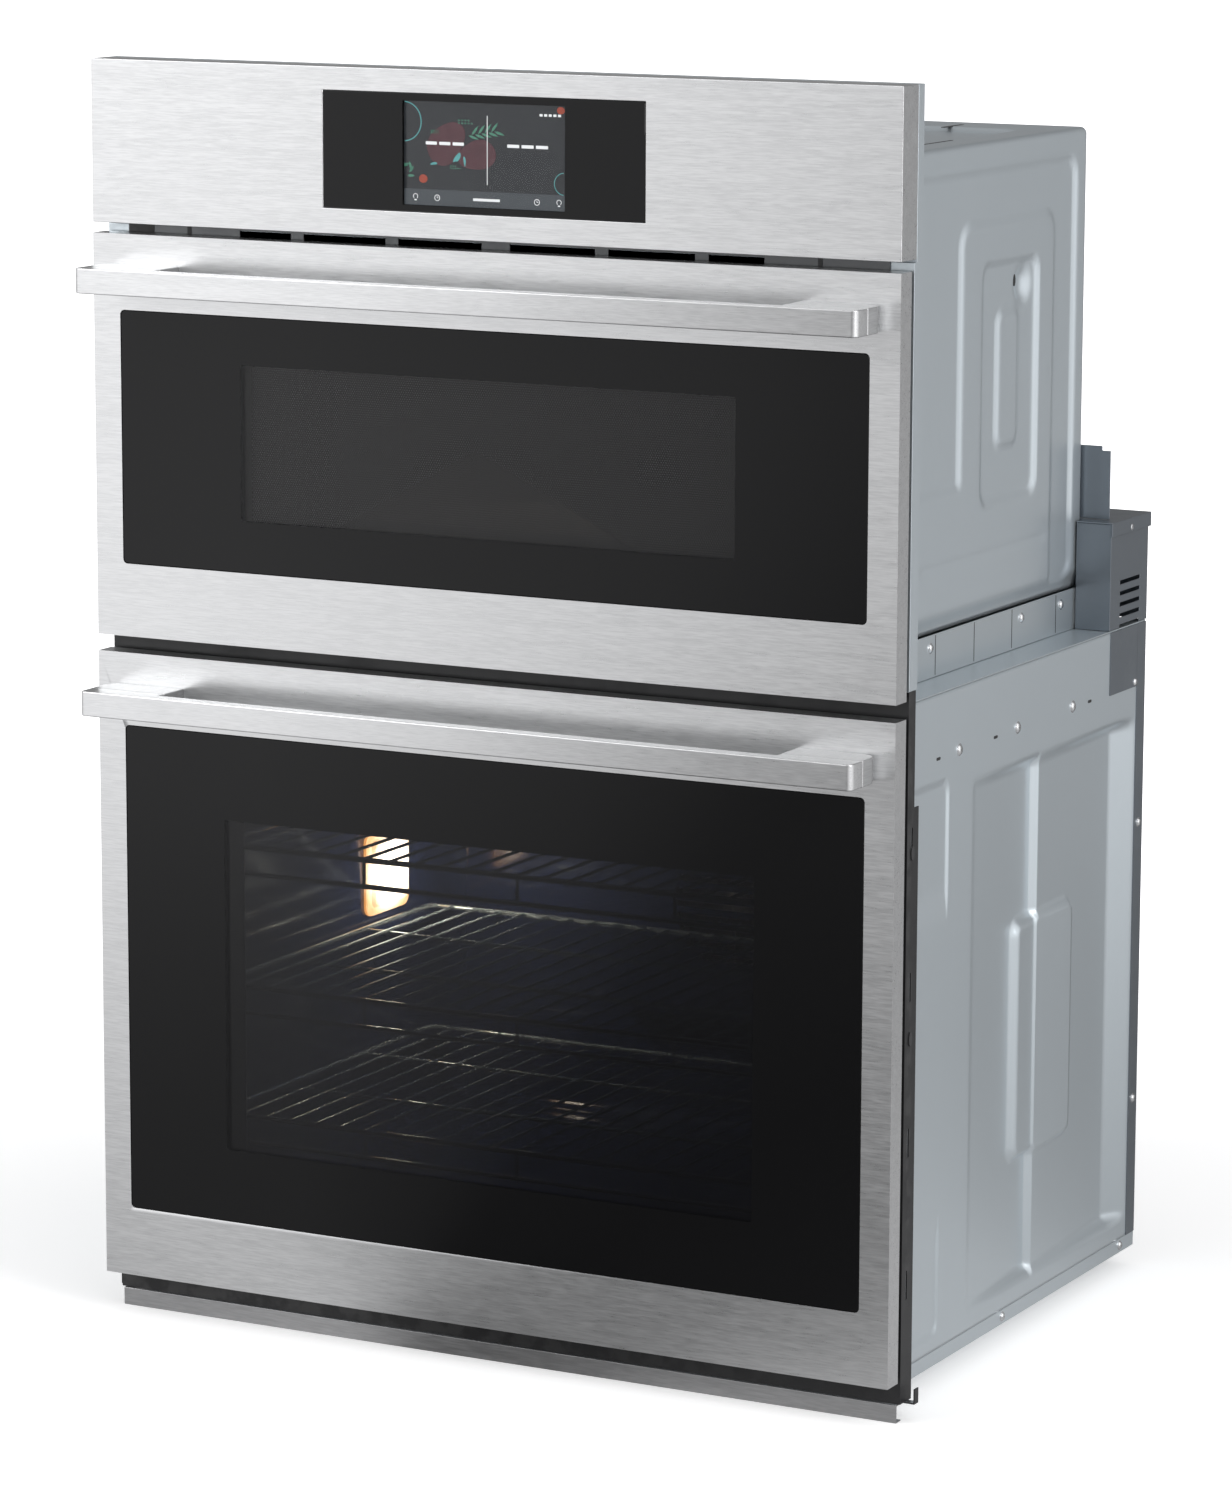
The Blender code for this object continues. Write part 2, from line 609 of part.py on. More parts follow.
def fan_and_cover():
    back = LOWER_BACK
    ring = 0.082
    cover = (-0.125, 0.125, back - FAN_COVER, back - FIT, FAN_LEVEL - 0.105, FAN_LEVEL + 0.105)
    holes = [(cover[0] + SHEET, cover[1] - SHEET, cover[2] + SHEET, 1, cover[4] + SHEET, cover[5] - SHEET)]
    for row in range(9):
        half = math.sqrt(max(0.0, 0.058 ** 2 - ((row - 4) * 0.012) ** 2))
        z = FAN_LEVEL + (row - 4) * 0.012
        holes.append((-half, half, 0, cover[2] + SHEET, z - 0.003, z + 0.003))
    for side in (-1, 1):
        x = sorted((side * 0.120, side * 0.130))
        holes.append((*x, cover[2] + 0.008, cover[3] - 0.008, FAN_LEVEL - 0.08, FAN_LEVEL + 0.08))
    add_boxes("fan_cover", ENAMEL, [cover], holes)
    middle = back - FAN_COVER / 2
    heater = bmesh.new()
    steps, sides, tube = 28, 6, 0.003
    loops = []
    for i in range(steps):
        turn = 2 * math.pi * i / steps
        loop = []
        for j in range(sides):
            roll = 2 * math.pi * j / sides
            r = ring + tube * math.cos(roll)
            loop.append(heater.verts.new(at(r * math.cos(turn), middle + tube * math.sin(roll), FAN_LEVEL + r * math.sin(turn))))
        loops.append(loop)
    for i in range(steps):
        for j in range(sides):
            a, b = loops[i], loops[(i + 1) % steps]
            heater.faces.new((a[j], a[(j + 1) % sides], b[(j + 1) % sides], b[j]))
    place("convection_element", heater, ELEMENT)
    pivot = at(0, middle, FAN_LEVEL)
    disc = add_round(bmesh.new(), FAN_RADIUS, at(0, middle + 0.007, FAN_LEVEL), at(0, middle + 0.009, FAN_LEVEL), 24)
    shaft = add_round(bmesh.new(), 0.0045, at(0, middle - 0.004, FAN_LEVEL), at(0, back + 0.012, FAN_LEVEL), 10)
    fan = place("convection_fan", disc, CHROME, pivot)
    pieces = [shaft]
    for number in range(8):
        blade = box_union([(0.018, FAN_RADIUS - 0.003, middle - 0.007, middle + 0.008, -0.0009, 0.0009)])
        spin = Matrix.Rotation(math.radians(45 * number), 4, "Y")
        blade.transform(Matrix.Translation((0, 0, FAN_LEVEL)) @ spin)
        pieces.append(blade)
    for number, piece in enumerate(pieces):
        tool(fan, f"fan_part{number}", piece, "UNION")
    motor_start = back + 0.016
    can = add_round(bmesh.new(), 0.034, at(0, motor_start, FAN_LEVEL), at(0, LOWER_REAR - SHEET - 0.008, FAN_LEVEL), 20)
    plate = box_union([(-0.045, 0.045, motor_start - 0.0015, motor_start + 0.001, FAN_LEVEL - 0.045, FAN_LEVEL + 0.045)])
    joined("fan_motor", DARK_STEEL, [can, plate])


def racks():
    half = LOWER_CAVITY - 0.003
    for name, height in zip(("bottom", "middle", "top"), RACK_HEIGHTS):
        z = (LOWER_FLOOR + height, LOWER_FLOOR + height + RACK_GAUGE)
        depth = (PLUG_DEPTH + RACK_FRONT, LOWER_BACK - RACK_REAR)
        solid = [(-half, half, *depth, *z)]
        pitch = (2 * half - 0.012) / RACK_SLOTS
        holes = []
        for slot in range(RACK_SLOTS):
            x = -half + 0.006 + slot * pitch
            span = (x + 0.0015, x + pitch - 0.0015)
            middle = sum(depth) / 2
            holes.append((*span, depth[0] + 0.005, middle - 0.002, -1, 2))
            holes.append((*span, middle + 0.002, depth[1] - 0.005, -1, 2))
        inner = half - LEDGE - 0.004
        low = z[0] - 0.020
        solid.append((-inner, inner, depth[0], depth[0] + RACK_GAUGE, low - RACK_GAUGE, low))
        rack_holes = [h[:4] + (z[0], z[1]) for h in holes]
        for sign in (-1, 1):
            x = sorted((sign * inner, sign * (inner - RACK_GAUGE)))
            solid.append((*x, depth[0], depth[0] + RACK_GAUGE, low - RACK_GAUGE, z[0]))
        add_boxes(f"rack_{name}", CHROME, solid, rack_holes)


def upper_oven():
    start = FRAME_BACK + FIT
    wall = LINER
    add_boxes(
        "upper_cavity",
        ENAMEL,
        [(-UPPER_CAVITY - wall, UPPER_CAVITY + wall, start, UPPER_BACK + wall, UPPER_FLOOR - wall, UPPER_ROOF + wall)],
        [
            (-UPPER_CAVITY, UPPER_CAVITY, start - 1, UPPER_BACK, UPPER_FLOOR, UPPER_ROOF),
            (-0.008, 0.008, TRAY_DEPTH - 0.008, TRAY_DEPTH + 0.008, UPPER_FLOOR - 1, UPPER_FLOOR),
        ],
    )
    case_start = FASCIA_DEPTH + FIT + SHEET + FIT
    rail = (FRAME_RETURN + 0.001, UPPER_REAR)
    add_boxes(
        "upper_base_rail",
        CASE_STEEL,
        [(-UPPER_CASE, UPPER_CASE, *rail, DECK + FIT, RAIL_TOP)],
        [(SHEET - UPPER_CASE, UPPER_CASE - SHEET, rail[0] + SHEET, rail[1] - SHEET, DECK + FIT + SHEET, 2)],
    )
    add_boxes(
        "upper_wrapper",
        CASE_STEEL,
        [(-UPPER_CASE, UPPER_CASE, case_start, UPPER_REAR, RAIL_TOP + FIT, UPPER_CASE_TOP)],
        [(SHEET - UPPER_CASE, UPPER_CASE - SHEET, 0, UPPER_REAR - SHEET, 0, UPPER_CASE_TOP - SHEET)],
    )
    motor_top = UPPER_FLOOR - LINER - 0.006
    motor = add_round(bmesh.new(), 0.024, at(0, TRAY_DEPTH, motor_top - 0.016), at(0, TRAY_DEPTH, motor_top), 20)
    ears = box_union([(-0.036, 0.036, TRAY_DEPTH - 0.009, TRAY_DEPTH + 0.009, motor_top - 0.003, motor_top - 0.001)])
    joined("turntable_motor", DARK_STEEL, [motor, ears])
    turntable(motor_top)
    power_stage()
    cooling_blower()


def turntable(motor_top):
    low = UPPER_FLOOR + TRAY_RISE
    pivot = at(0, TRAY_DEPTH, low)
    profile = ((0.0, 0.0), (0.88, 0.0), (1.0, 0.008), (1.0, 0.012), (0.87, 0.005), (0.0, 0.005))
    tray = bmesh.new()
    steps = 40
    loops = []
    for share, rise in profile[1:-1]:
        r = share * TRAY_RADIUS
        angles = [2 * math.pi * i / steps for i in range(steps)]
        points = [at(r * math.cos(a), TRAY_DEPTH + r * math.sin(a), low + rise) for a in angles]
        loops.append([tray.verts.new(p) for p in points])
    for a, b in zip(loops, loops[1:]):
        for i in range(steps):
            j = (i + 1) % steps
            tray.faces.new((a[i], a[j], b[j], b[i]))
    tray.faces.new(loops[0])
    tray.faces.new(loops[-1])
    thing = place("turntable_tray", tray, CLEAR_GLASS, pivot)
    hub = add_round(bmesh.new(), 0.014, at(0, TRAY_DEPTH, UPPER_FLOOR + 0.003), at(0, TRAY_DEPTH, low + 0.002), 12)
    shaft = add_round(bmesh.new(), 0.004, at(0, TRAY_DEPTH, motor_top + 0.001), at(0, TRAY_DEPTH, UPPER_FLOOR + 0.004), 8)
    tool(thing, "tray_hub", hub, "UNION")
    tool(thing, "tray_shaft", shaft, "UNION")
    level = UPPER_FLOOR + FIT + ROLLER_RADIUS
    ring = TRAY_RADIUS * 0.62
    hoop = add_round(bmesh.new(), ring + 0.004, at(0, TRAY_DEPTH, level - 0.002), at(0, TRAY_DEPTH, level + 0.002), 32, ring - 0.004)
    runner = place("roller_ring", hoop, PLASTIC, at(0, TRAY_DEPTH, level))
    for number in range(3):
        angle = 2 * math.pi * number / 3
        arm = Vector((math.cos(angle), math.sin(angle), 0))
        centre = at(0, TRAY_DEPTH, level)
        wheel = add_round(bmesh.new(), ROLLER_RADIUS, centre + arm * (ring + 0.002), centre + arm * (ring + 0.009), 14)
        tool(runner, f"roller{number}", wheel, "UNION")


def power_stage():
    base = UPPER_ROOF + LINER + 0.002
    start = UPPER_BACK - 0.13
    tube = [(0.10, 0.20, start, start + 0.085, base, base + 0.004)]
    tube.append((0.105, 0.195, start + 0.004, start + 0.080, base + 0.004, base + 0.062))
    for fin in range(5):
        z = base + 0.012 + 0.010 * fin
        tube.append((0.100, 0.200, start + 0.002, start + 0.083, z, z + 0.002))
    tube.append((0.130, 0.170, start + 0.025, start + 0.060, base + 0.062, base + 0.080))
    add_boxes("magnetron", STAINLESS, tube)
    supply = [(-0.22, -0.08, start - 0.05, start + 0.09, base, base + 0.003)]
    supply.append((-0.21, -0.15, start - 0.03, start + 0.05, base + 0.003, base + 0.050))
    for fin in range(6):
        x = -0.135 + 0.008 * fin
        supply.append((x, x + 0.0025, start - 0.03, start + 0.06, base + 0.003, base + 0.040))
    add_boxes("power_supply", DARK_STEEL, supply)


def cooling_blower():
    base = UPPER_ROOF + LINER + 0.010
    depth = 0.150
    half = BLOWER_LENGTH / 2 + 0.008
    reach = BLOWER_RADIUS + 0.010
    level = base + 0.006 + reach
    shell = (-half, half, depth - reach, depth + reach, level - reach, level + reach)
    wall = 0.0015
    inside = (wall - half, half - wall, depth - reach + wall, depth + reach - wall, level - reach + wall, level + reach - wall)
    eye = BLOWER_RADIUS - 0.008
    holes = [
        inside,
        (-1, 1, depth - eye, depth + eye, level - eye, level + eye),
        (wall - half, half - wall, 0, depth, level - 0.018, level + 0.018),
    ]
    add_boxes("blower_housing", CASE_STEEL, [shell], holes)
    pivot = at(0, depth, level)
    length = BLOWER_LENGTH / 2
    drum = add_round(bmesh.new(), BLOWER_RADIUS, at(-length, depth, level), at(length, depth, level), 20, BLOWER_RADIUS - 0.006)
    wheel = place("blower_wheel", drum, PLASTIC, pivot)
    hub = box_union([(-0.001, 0.001, depth - BLOWER_RADIUS + 0.004, depth + BLOWER_RADIUS - 0.004, level - 0.008, level + 0.008)])
    axle = add_round(bmesh.new(), 0.004, at(-length - 0.004, depth, level), at(length + 0.004, depth, level), 8)
    tool(wheel, "wheel_spider", hub, "UNION")
    tool(wheel, "wheel_axle", axle, "UNION")


def hinge_set(prefix, case, level, door_top):
    """The fixed brackets with their pins, and the arms that turn with the door."""
    for side, x in zip(("left", "right"), hinge_places(case)):
        thick = 0.0015
        bracket = box_union([
            (x - thick, x + thick, HINGE_DEPTH - 0.0045, FRAME_BACK + BRACKET_REACH, level - 0.0045, level + 0.0045),
            (x - thick, x + thick, FRAME_BACK + 0.006, FRAME_BACK + BRACKET_REACH, level - 0.0045, level + 0.030),
        ])
        inward = -1 if x > 0 else 1
        pin = add_round(
            bmesh.new(), 0.0020, at(x, HINGE_DEPTH, level), at(x + inward * 0.0065, HINGE_DEPTH, level), 10
        )
        joined(f"{prefix}_hinge_bracket_{side}", DARK_STEEL, [bracket, pin])
        gap = thick + 0.0006
        arm_x = sorted((x + inward * gap, x + inward * (gap + 0.003)))
        reach = (door_top - level) * 0.3
        arm = box_union([
            (*arm_x, HINGE_DEPTH - 0.0042, HINGE_DEPTH + 0.0042, level - 0.0042, level + 0.011),
            (*arm_x, 0.0075, SKIN_DEPTH - FIT, level + 0.009, level + reach),
        ])
        thing = place(f"{prefix}_hinge_arm_{side}", arm, DARK_STEEL, at(0, HINGE_DEPTH, level))
        eye = add_round(
            bmesh.new(), 0.0024, at(x - inward * 0.001, HINGE_DEPTH, level), at(x + inward * 0.02, HINGE_DEPTH, level), 10
        )
        tool(thing, f"{prefix}_eye_{side}", eye, "DIFFERENCE")


def door(prefix, span, glass_rises, cavity, case, level):
    """A drop-down door: skin, outer glass, inner liner with its plug, inner glass, handle."""
    pivot = at(0, HINGE_DEPTH, level)
    z0, z1 = span
    glass = (FRONT - GLASS_BORDER)
    glass_z = (z0 + glass_rises[0], z1 - glass_rises[1])
    notch = [
        (x - 0.0065, x + 0.0065, HINGE_DEPTH - 0.010, 1, z0 - 1, level + 0.012)
        for x in hinge_places(case)
    ]
    add_boxes(
        f"{prefix}_door_skin",
        STAINLESS,
        [(-FRONT, FRONT, 0, SKIN_DEPTH, z0, z1)],
        [
            (SHEET - FRONT, FRONT - SHEET, SHEET, 1, z0 + SHEET, z1 - SHEET),
            (-glass, glass, -1, 1, *glass_z),
            *notch,
        ],
        pivot,
    )
    add_boxes(
        f"{prefix}_door_glass",
        BLACK_GLASS,
        [(FIT - glass, glass - FIT, 0.0002, 0.0002 + GLASS, glass_z[0] + FIT, glass_z[1] - FIT)],
        (),
        pivot,
    )
    half, floor, roof = cavity
    plug = (-half + RUN, half - RUN, SKIN_DEPTH + FIT, PLUG_DEPTH, floor + RUN, roof - RUN)
    edge = FRONT - 0.006
    pan = (-edge, edge, SKIN_DEPTH + FIT, SKIN_DEPTH + FIT + SHEET, z0 + 0.010, z1 - 0.004)
    rim = WINDOW_RIM
    lip = 0.012
    window = (plug[0] + rim, plug[1] - rim, plug[4] + rim, plug[5] - rim)
    wide = (window[0] - lip, window[1] + lip, window[2] - lip, window[3] + lip)
    hollow = (plug[0] + SHEET, plug[1] - SHEET, 0, plug[3] - SHEET, plug[4] + SHEET, plug[5] - SHEET)
    holes = [hollow, (*window[:2], 0, 1, *window[2:]), *notch]
    latch = (-0.010, 0.038, 0, 1, LATCH_LEVEL - 0.005, LATCH_LEVEL + 0.005)
    if prefix == "lower":
        holes.append(latch)
    add_boxes(f"{prefix}_door_liner", ENAMEL, [plug, pan], holes, pivot)
    pane = (wide[0], wide[1], plug[3] - SHEET - FIT - GLASS, plug[3] - SHEET - FIT, wide[2], wide[3])
    add_boxes(f"{prefix}_door_inner_glass", CLEAR_GLASS, [pane], (), pivot)
    mid = (wide[0], wide[1], 0.012, 0.0135, wide[2], wide[3])
    if prefix == "upper":
        add_boxes("upper_door_screen", DARK_STEEL, [mid], (), pivot)
    else:
        add_boxes("lower_door_middle_glass", CLEAR_GLASS, [mid[:2] + (0.012, 0.015) + mid[4:]], (), pivot)


def handle(prefix, door_top, drop, level):
    """A flat bar carried by a solid post at each end."""
    half = FRONT - HANDLE_INSET
    z = (door_top - drop - HANDLE_HEIGHT, door_top - drop)
    bar = [(-half, half, -HANDLE_REACH, HANDLE_BAR - HANDLE_REACH, *z)]
    for sign in (-1, 1):
        x = sorted((sign * half, sign * (half - HANDLE_POST)))
        bar.append((*x, -HANDLE_REACH, -FIT, *z))
    thing = add_boxes(f"{prefix}_handle", STAINLESS, bar, (), at(0, HINGE_DEPTH, level))
    rounded(thing, 0.0028)


def latch():
    pivot = at(0, LATCH_DEPTH, LATCH_LEVEL)
    arm = box_union([
        (-0.006, LATCH_REACH, LATCH_DEPTH - 0.005, LATCH_DEPTH + 0.005, LATCH_LEVEL - 0.0015, LATCH_LEVEL + 0.0015),
        (LATCH_REACH - 0.006, LATCH_REACH, LATCH_DEPTH - 0.005, LATCH_DEPTH + 0.009,
         LATCH_LEVEL - 0.0015, LATCH_LEVEL + 0.0015),
    ])
    place("latch_hook", arm, CHROME, pivot)


lower_case()
rear_duct()
front_frames()
trims()
control_panel()
lower_oven()
racks()
upper_oven()
hinge_set("lower", LOWER_CASE, LOWER_HINGE, LOWER_DOOR[1])
hinge_set("upper", UPPER_CASE, UPPER_HINGE, UPPER_DOOR[1])
door("lower", LOWER_DOOR, (LOWER_GLASS_BOTTOM, LOWER_GLASS_TOP),
     (LOWER_CAVITY, LOWER_FLOOR, LOWER_ROOF), LOWER_CASE, LOWER_HINGE)
door("upper", UPPER_DOOR, (UPPER_GLASS_BOTTOM, UPPER_GLASS_TOP),
     (UPPER_CAVITY, UPPER_FLOOR, UPPER_ROOF), UPPER_CASE, UPPER_HINGE)
handle("lower", LOWER_DOOR[1], LOWER_HANDLE_DROP, LOWER_HINGE)
handle("upper", UPPER_DOOR[1], UPPER_HANDLE_DROP, UPPER_HINGE)
latch()
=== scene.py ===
"""The look of the combination wall oven: finishes, glass, racks, pressed cases, lamps and studio."""

import json
import math

import bmesh
import bpy
import numpy as np
from mathutils import Matrix, Vector


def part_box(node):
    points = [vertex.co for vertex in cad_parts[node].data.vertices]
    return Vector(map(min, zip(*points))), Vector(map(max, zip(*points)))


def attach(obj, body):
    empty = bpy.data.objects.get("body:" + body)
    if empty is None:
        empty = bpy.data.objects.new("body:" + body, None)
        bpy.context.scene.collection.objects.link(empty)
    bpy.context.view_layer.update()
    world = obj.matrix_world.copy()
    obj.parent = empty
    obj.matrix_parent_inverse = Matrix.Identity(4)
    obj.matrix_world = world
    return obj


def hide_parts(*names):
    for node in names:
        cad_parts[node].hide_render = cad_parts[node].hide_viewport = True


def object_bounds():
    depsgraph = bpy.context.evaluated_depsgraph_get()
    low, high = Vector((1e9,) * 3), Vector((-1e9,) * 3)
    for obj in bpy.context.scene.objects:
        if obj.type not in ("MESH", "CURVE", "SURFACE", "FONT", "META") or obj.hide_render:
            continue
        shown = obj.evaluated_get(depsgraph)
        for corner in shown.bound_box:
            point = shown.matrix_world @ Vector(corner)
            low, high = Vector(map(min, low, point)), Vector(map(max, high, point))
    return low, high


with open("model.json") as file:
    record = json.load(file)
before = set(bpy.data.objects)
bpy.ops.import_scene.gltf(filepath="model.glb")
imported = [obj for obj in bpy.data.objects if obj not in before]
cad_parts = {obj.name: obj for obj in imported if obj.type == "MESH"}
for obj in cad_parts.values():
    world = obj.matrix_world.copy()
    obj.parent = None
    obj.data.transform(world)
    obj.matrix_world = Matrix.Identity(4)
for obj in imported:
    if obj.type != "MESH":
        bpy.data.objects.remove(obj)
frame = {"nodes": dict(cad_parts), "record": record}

CAD_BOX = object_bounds()

# ---------------------------------------------------------------- places taken from the frame
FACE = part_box("lower_door_skin")[0].y
LOWER_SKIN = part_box("lower_door_skin")
UPPER_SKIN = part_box("upper_door_skin")
LOWER_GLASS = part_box("lower_door_glass")
UPPER_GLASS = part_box("upper_door_glass")
UPPER_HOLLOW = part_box("upper_cavity")
LOWER_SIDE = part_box("lower_side_right")
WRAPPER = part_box("upper_wrapper")
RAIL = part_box("upper_base_rail")
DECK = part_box("lower_deck")
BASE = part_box("base_pan")
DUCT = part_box("rear_duct_box")
DISPLAY_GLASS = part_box("control_glass")
FRAME_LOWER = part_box("lower_front_frame")
SHEET = 0.0012
LINER = 0.0016
HAIR = 0.0003
BASE_LEVEL = 0.0355
SEATED = 0.0002
OPENING_RADIUS = 0.0042


# ---------------------------------------------------------------- shader building blocks
def new_group(name, inputs, outputs):
    """An empty shader group with its sockets; inputs are (name, kind, default)."""
    tree = bpy.data.node_groups.new(name, "ShaderNodeTree")
    for label, kind, default in inputs:
        socket = tree.interface.new_socket(label, in_out="INPUT", socket_type=kind)
        if default is not None:
            socket.default_value = default
    for label, kind in outputs:
        tree.interface.new_socket(label, in_out="OUTPUT", socket_type=kind)
    return tree, tree.nodes.new("NodeGroupInput"), tree.nodes.new("NodeGroupOutput")


def add(tree, kind, **settings):
    node = tree.nodes.new("ShaderNode" + kind)
    for key, value in settings.items():
        setattr(node, key, value)
    return node


def wire(tree, source, target):
    tree.links.new(source, target)


def feed(tree, node, socket, value):
    """Sets a socket to a number, or links it where the value is itself a socket."""
    if isinstance(value, bpy.types.NodeSocket):
        wire(tree, value, node.inputs[socket])
    else:
        node.inputs[socket].default_value = value


def maths(tree, operation, first, second=0.5):
    node = add(tree, "Math", operation=operation)
    feed(tree, node, 0, first)
    feed(tree, node, 1, second)
    return node.outputs[0]


def ramp(tree, value, low, high):
    """Remaps a value from low..high to 0..1, clamped and smooth."""
    node = add(tree, "MapRange", interpolation_type="SMOOTHSTEP")
    feed(tree, node, 0, value)
    feed(tree, node, 1, low)
    feed(tree, node, 2, high)
    return node.outputs[0]


def noise(tree, vector, scale, detail=3.0, roughness=0.55):
    node = add(tree, "TexNoise")
    wire(tree, vector, node.inputs["Vector"])
    feed(tree, node, "Scale", scale)
    feed(tree, node, "Detail", detail)
    feed(tree, node, "Roughness", roughness)
    return node.outputs["Fac"]


def grain_group():
    """Long fine strokes left by an abrasive belt, in two layers of different length."""
    tree, inlet, outlet = new_group(
        "belt_grain",
        [("Vector", "NodeSocketVector", None), ("Along", "NodeSocketFloat", 6.0), ("Across", "NodeSocketFloat", 700.0)],
        [("Tone", "NodeSocketFloat"), ("Height", "NodeSocketFloat")],
    )
    scale = add(tree, "CombineXYZ")
    wire(tree, inlet.outputs["Along"], scale.inputs[0])
    wire(tree, inlet.outputs["Across"], scale.inputs[1])
    wire(tree, inlet.outputs["Across"], scale.inputs[2])
    stretched = add(tree, "VectorMath", operation="MULTIPLY")
    wire(tree, inlet.outputs["Vector"], stretched.inputs[0])
    wire(tree, scale.outputs[0], stretched.inputs[1])
    fine = noise(tree, stretched.outputs[0], 1.0, 2.0)
    long = noise(tree, stretched.outputs[0], 0.21, 2.0)
    mixed = maths(tree, "ADD", maths(tree, "MULTIPLY", fine, 0.7), maths(tree, "MULTIPLY", long, 0.3))
    wire(tree, ramp(tree, mixed, 0.30, 0.70), outlet.inputs["Tone"])
    wire(tree, fine, outlet.inputs["Height"])
    return tree


def fleck_group():
    """Small round flecks, as in porcelain enamel or sprayed paint."""
    tree, inlet, outlet = new_group(
        "enamel_flecks",
        [("Vector", "NodeSocketVector", None), ("Scale", "NodeSocketFloat", 900.0), ("Size", "NodeSocketFloat", 0.16)],
        [("Mask", "NodeSocketFloat")],
    )
    cells = add(tree, "TexVoronoi")
    wire(tree, inlet.outputs["Vector"], cells.inputs["Vector"])
    wire(tree, inlet.outputs["Scale"], cells.inputs["Scale"])
    chosen = noise(tree, inlet.outputs["Vector"], 160.0, 1.0)
    inside = maths(tree, "LESS_THAN", cells.outputs["Distance"], inlet.outputs["Size"])
    wire(tree, maths(tree, "MULTIPLY", inside, ramp(tree, chosen, 0.52, 0.56)), outlet.inputs["Mask"])
    return tree


def handling_group():
    """Broad uneven patches of faint smears and dust that change the gloss."""
    tree, inlet, outlet = new_group(
        "handling_marks",
        [("Vector", "NodeSocketVector", None), ("Scale", "NodeSocketFloat", 5.0)],
        [("Patch", "NodeSocketFloat"), ("Smear", "NodeSocketFloat")],
    )
    wire(tree, noise(tree, inlet.outputs["Vector"], inlet.outputs["Scale"], 4.0, 0.6), outlet.inputs["Patch"])
    twice = maths(tree, "MULTIPLY", inlet.outputs["Scale"], 9.0)
    wire(tree, ramp(tree, noise(tree, inlet.outputs["Vector"], twice, 6.0, 0.7), 0.45, 0.75), outlet.inputs["Smear"])
    return tree


def edge_group():
    """A thin line along sharp edges, where plating or paint has worn thin."""
    tree, inlet, outlet = new_group(
        "edge_rub",
        [("Vector", "NodeSocketVector", None), ("Reach", "NodeSocketFloat", 0.56)],
        [("Mask", "NodeSocketFloat")],
    )
    shape = add(tree, "NewGeometry")
    broken = noise(tree, inlet.outputs["Vector"], 60.0, 4.0)
    sharp = ramp(tree, shape.outputs["Pointiness"], inlet.outputs["Reach"], 0.75)
    wire(tree, maths(tree, "MULTIPLY", sharp, ramp(tree, broken, 0.4, 0.6)), outlet.inputs["Mask"])
    return tree


GROUPS = {
    "grain": grain_group(),
    "flecks": fleck_group(),
    "handling": handling_group(),
    "edges": edge_group(),
}


def use(tree, group, vector, **values):
    node = add(tree, "Group", node_tree=GROUPS[group])
    wire(tree, vector, node.inputs["Vector"])
    for key, value in values.items():
        node.inputs[key].default_value = value
    return node


def blended(tree, share, first, second):
    """A colour mix; each colour is a triple or another colour socket."""
    node = add(tree, "Mix", data_type="RGBA")
    feed(tree, node, 0, share)
    for socket, colour in ((6, first), (7, second)):
        if isinstance(colour, bpy.types.NodeSocket):
            wire(tree, colour, node.inputs[socket])
        else:
            node.inputs[socket].default_value = (*colour, 1.0)
    return node.outputs[2]


def bumped(tree, height, strength, distance):
    node = add(tree, "Bump")
    wire(tree, height, node.inputs["Height"])
    node.inputs["Strength"].default_value = strength
    node.inputs["Distance"].default_value = distance
    return node.outputs["Normal"]


def finish(name, metallic=0.0, alpha=1.0, **fixed):
    """A material with its tree, its shader and object coordinates ready to use."""
    material = bpy.data.materials.new(name)
    material.use_nodes = True
    tree = material.node_tree
    shader = tree.nodes["Principled BSDF"]
    shader.inputs["Metallic"].default_value = metallic
    shader.inputs["Alpha"].default_value = alpha
    for key, value in fixed.items():
        shader.inputs[key.replace("_", " ")].default_value = value
    where = add(tree, "TexCoord").outputs["Object"]
    return material, tree, shader, where


def turned(tree, where, degrees):
    node = add(tree, "Mapping")
    wire(tree, where, node.inputs["Vector"])
    node.inputs["Rotation"].default_value = (0, 0, math.radians(degrees))
    return node.outputs[0]


def gloss_between(tree, shader, share, low, high):
    node = add(tree, "MapRange")
    feed(tree, node, 0, share)
    feed(tree, node, 3, low)
    feed(tree, node, 4, high)
    wire(tree, node.outputs[0], shader.inputs["Roughness"])


def coloured(tree, shader, share, first, second):
    wire(tree, blended(tree, share, first, second), shader.inputs["Base Color"])


def rough_skin(tree, shader, height, strength, distance):
    wire(tree, bumped(tree, height, strength, distance), shader.inputs["Normal"])


# ---------------------------------------------------------------- finishes
def brushed_metal(name, dark, light, low, high, along=5.0, across=650.0, turn=0.0):
    material, tree, shader, where = finish(name, metallic=1.0)
    where = turned(tree, where, turn)
    grain = use(tree, "grain", where, Along=along, Across=across)
    marks = use(tree, "handling", where, Scale=3.0)
    tone = blended(tree, grain.outputs["Tone"], dark, light)
    soft = blended(tree, maths(tree, "MULTIPLY", marks.outputs["Patch"], 0.22), tone, tuple(c * 0.86 for c in light))
    wire(tree, soft, shader.inputs["Base Color"])
    share = maths(tree, "ADD", maths(tree, "MULTIPLY", grain.outputs["Tone"], 0.7),
                  maths(tree, "MULTIPLY", marks.outputs["Smear"], 0.3))
    gloss_between(tree, shader, share, low, high)
    rough_skin(tree, shader, grain.outputs["Height"], 0.12, 0.0002)
    return material


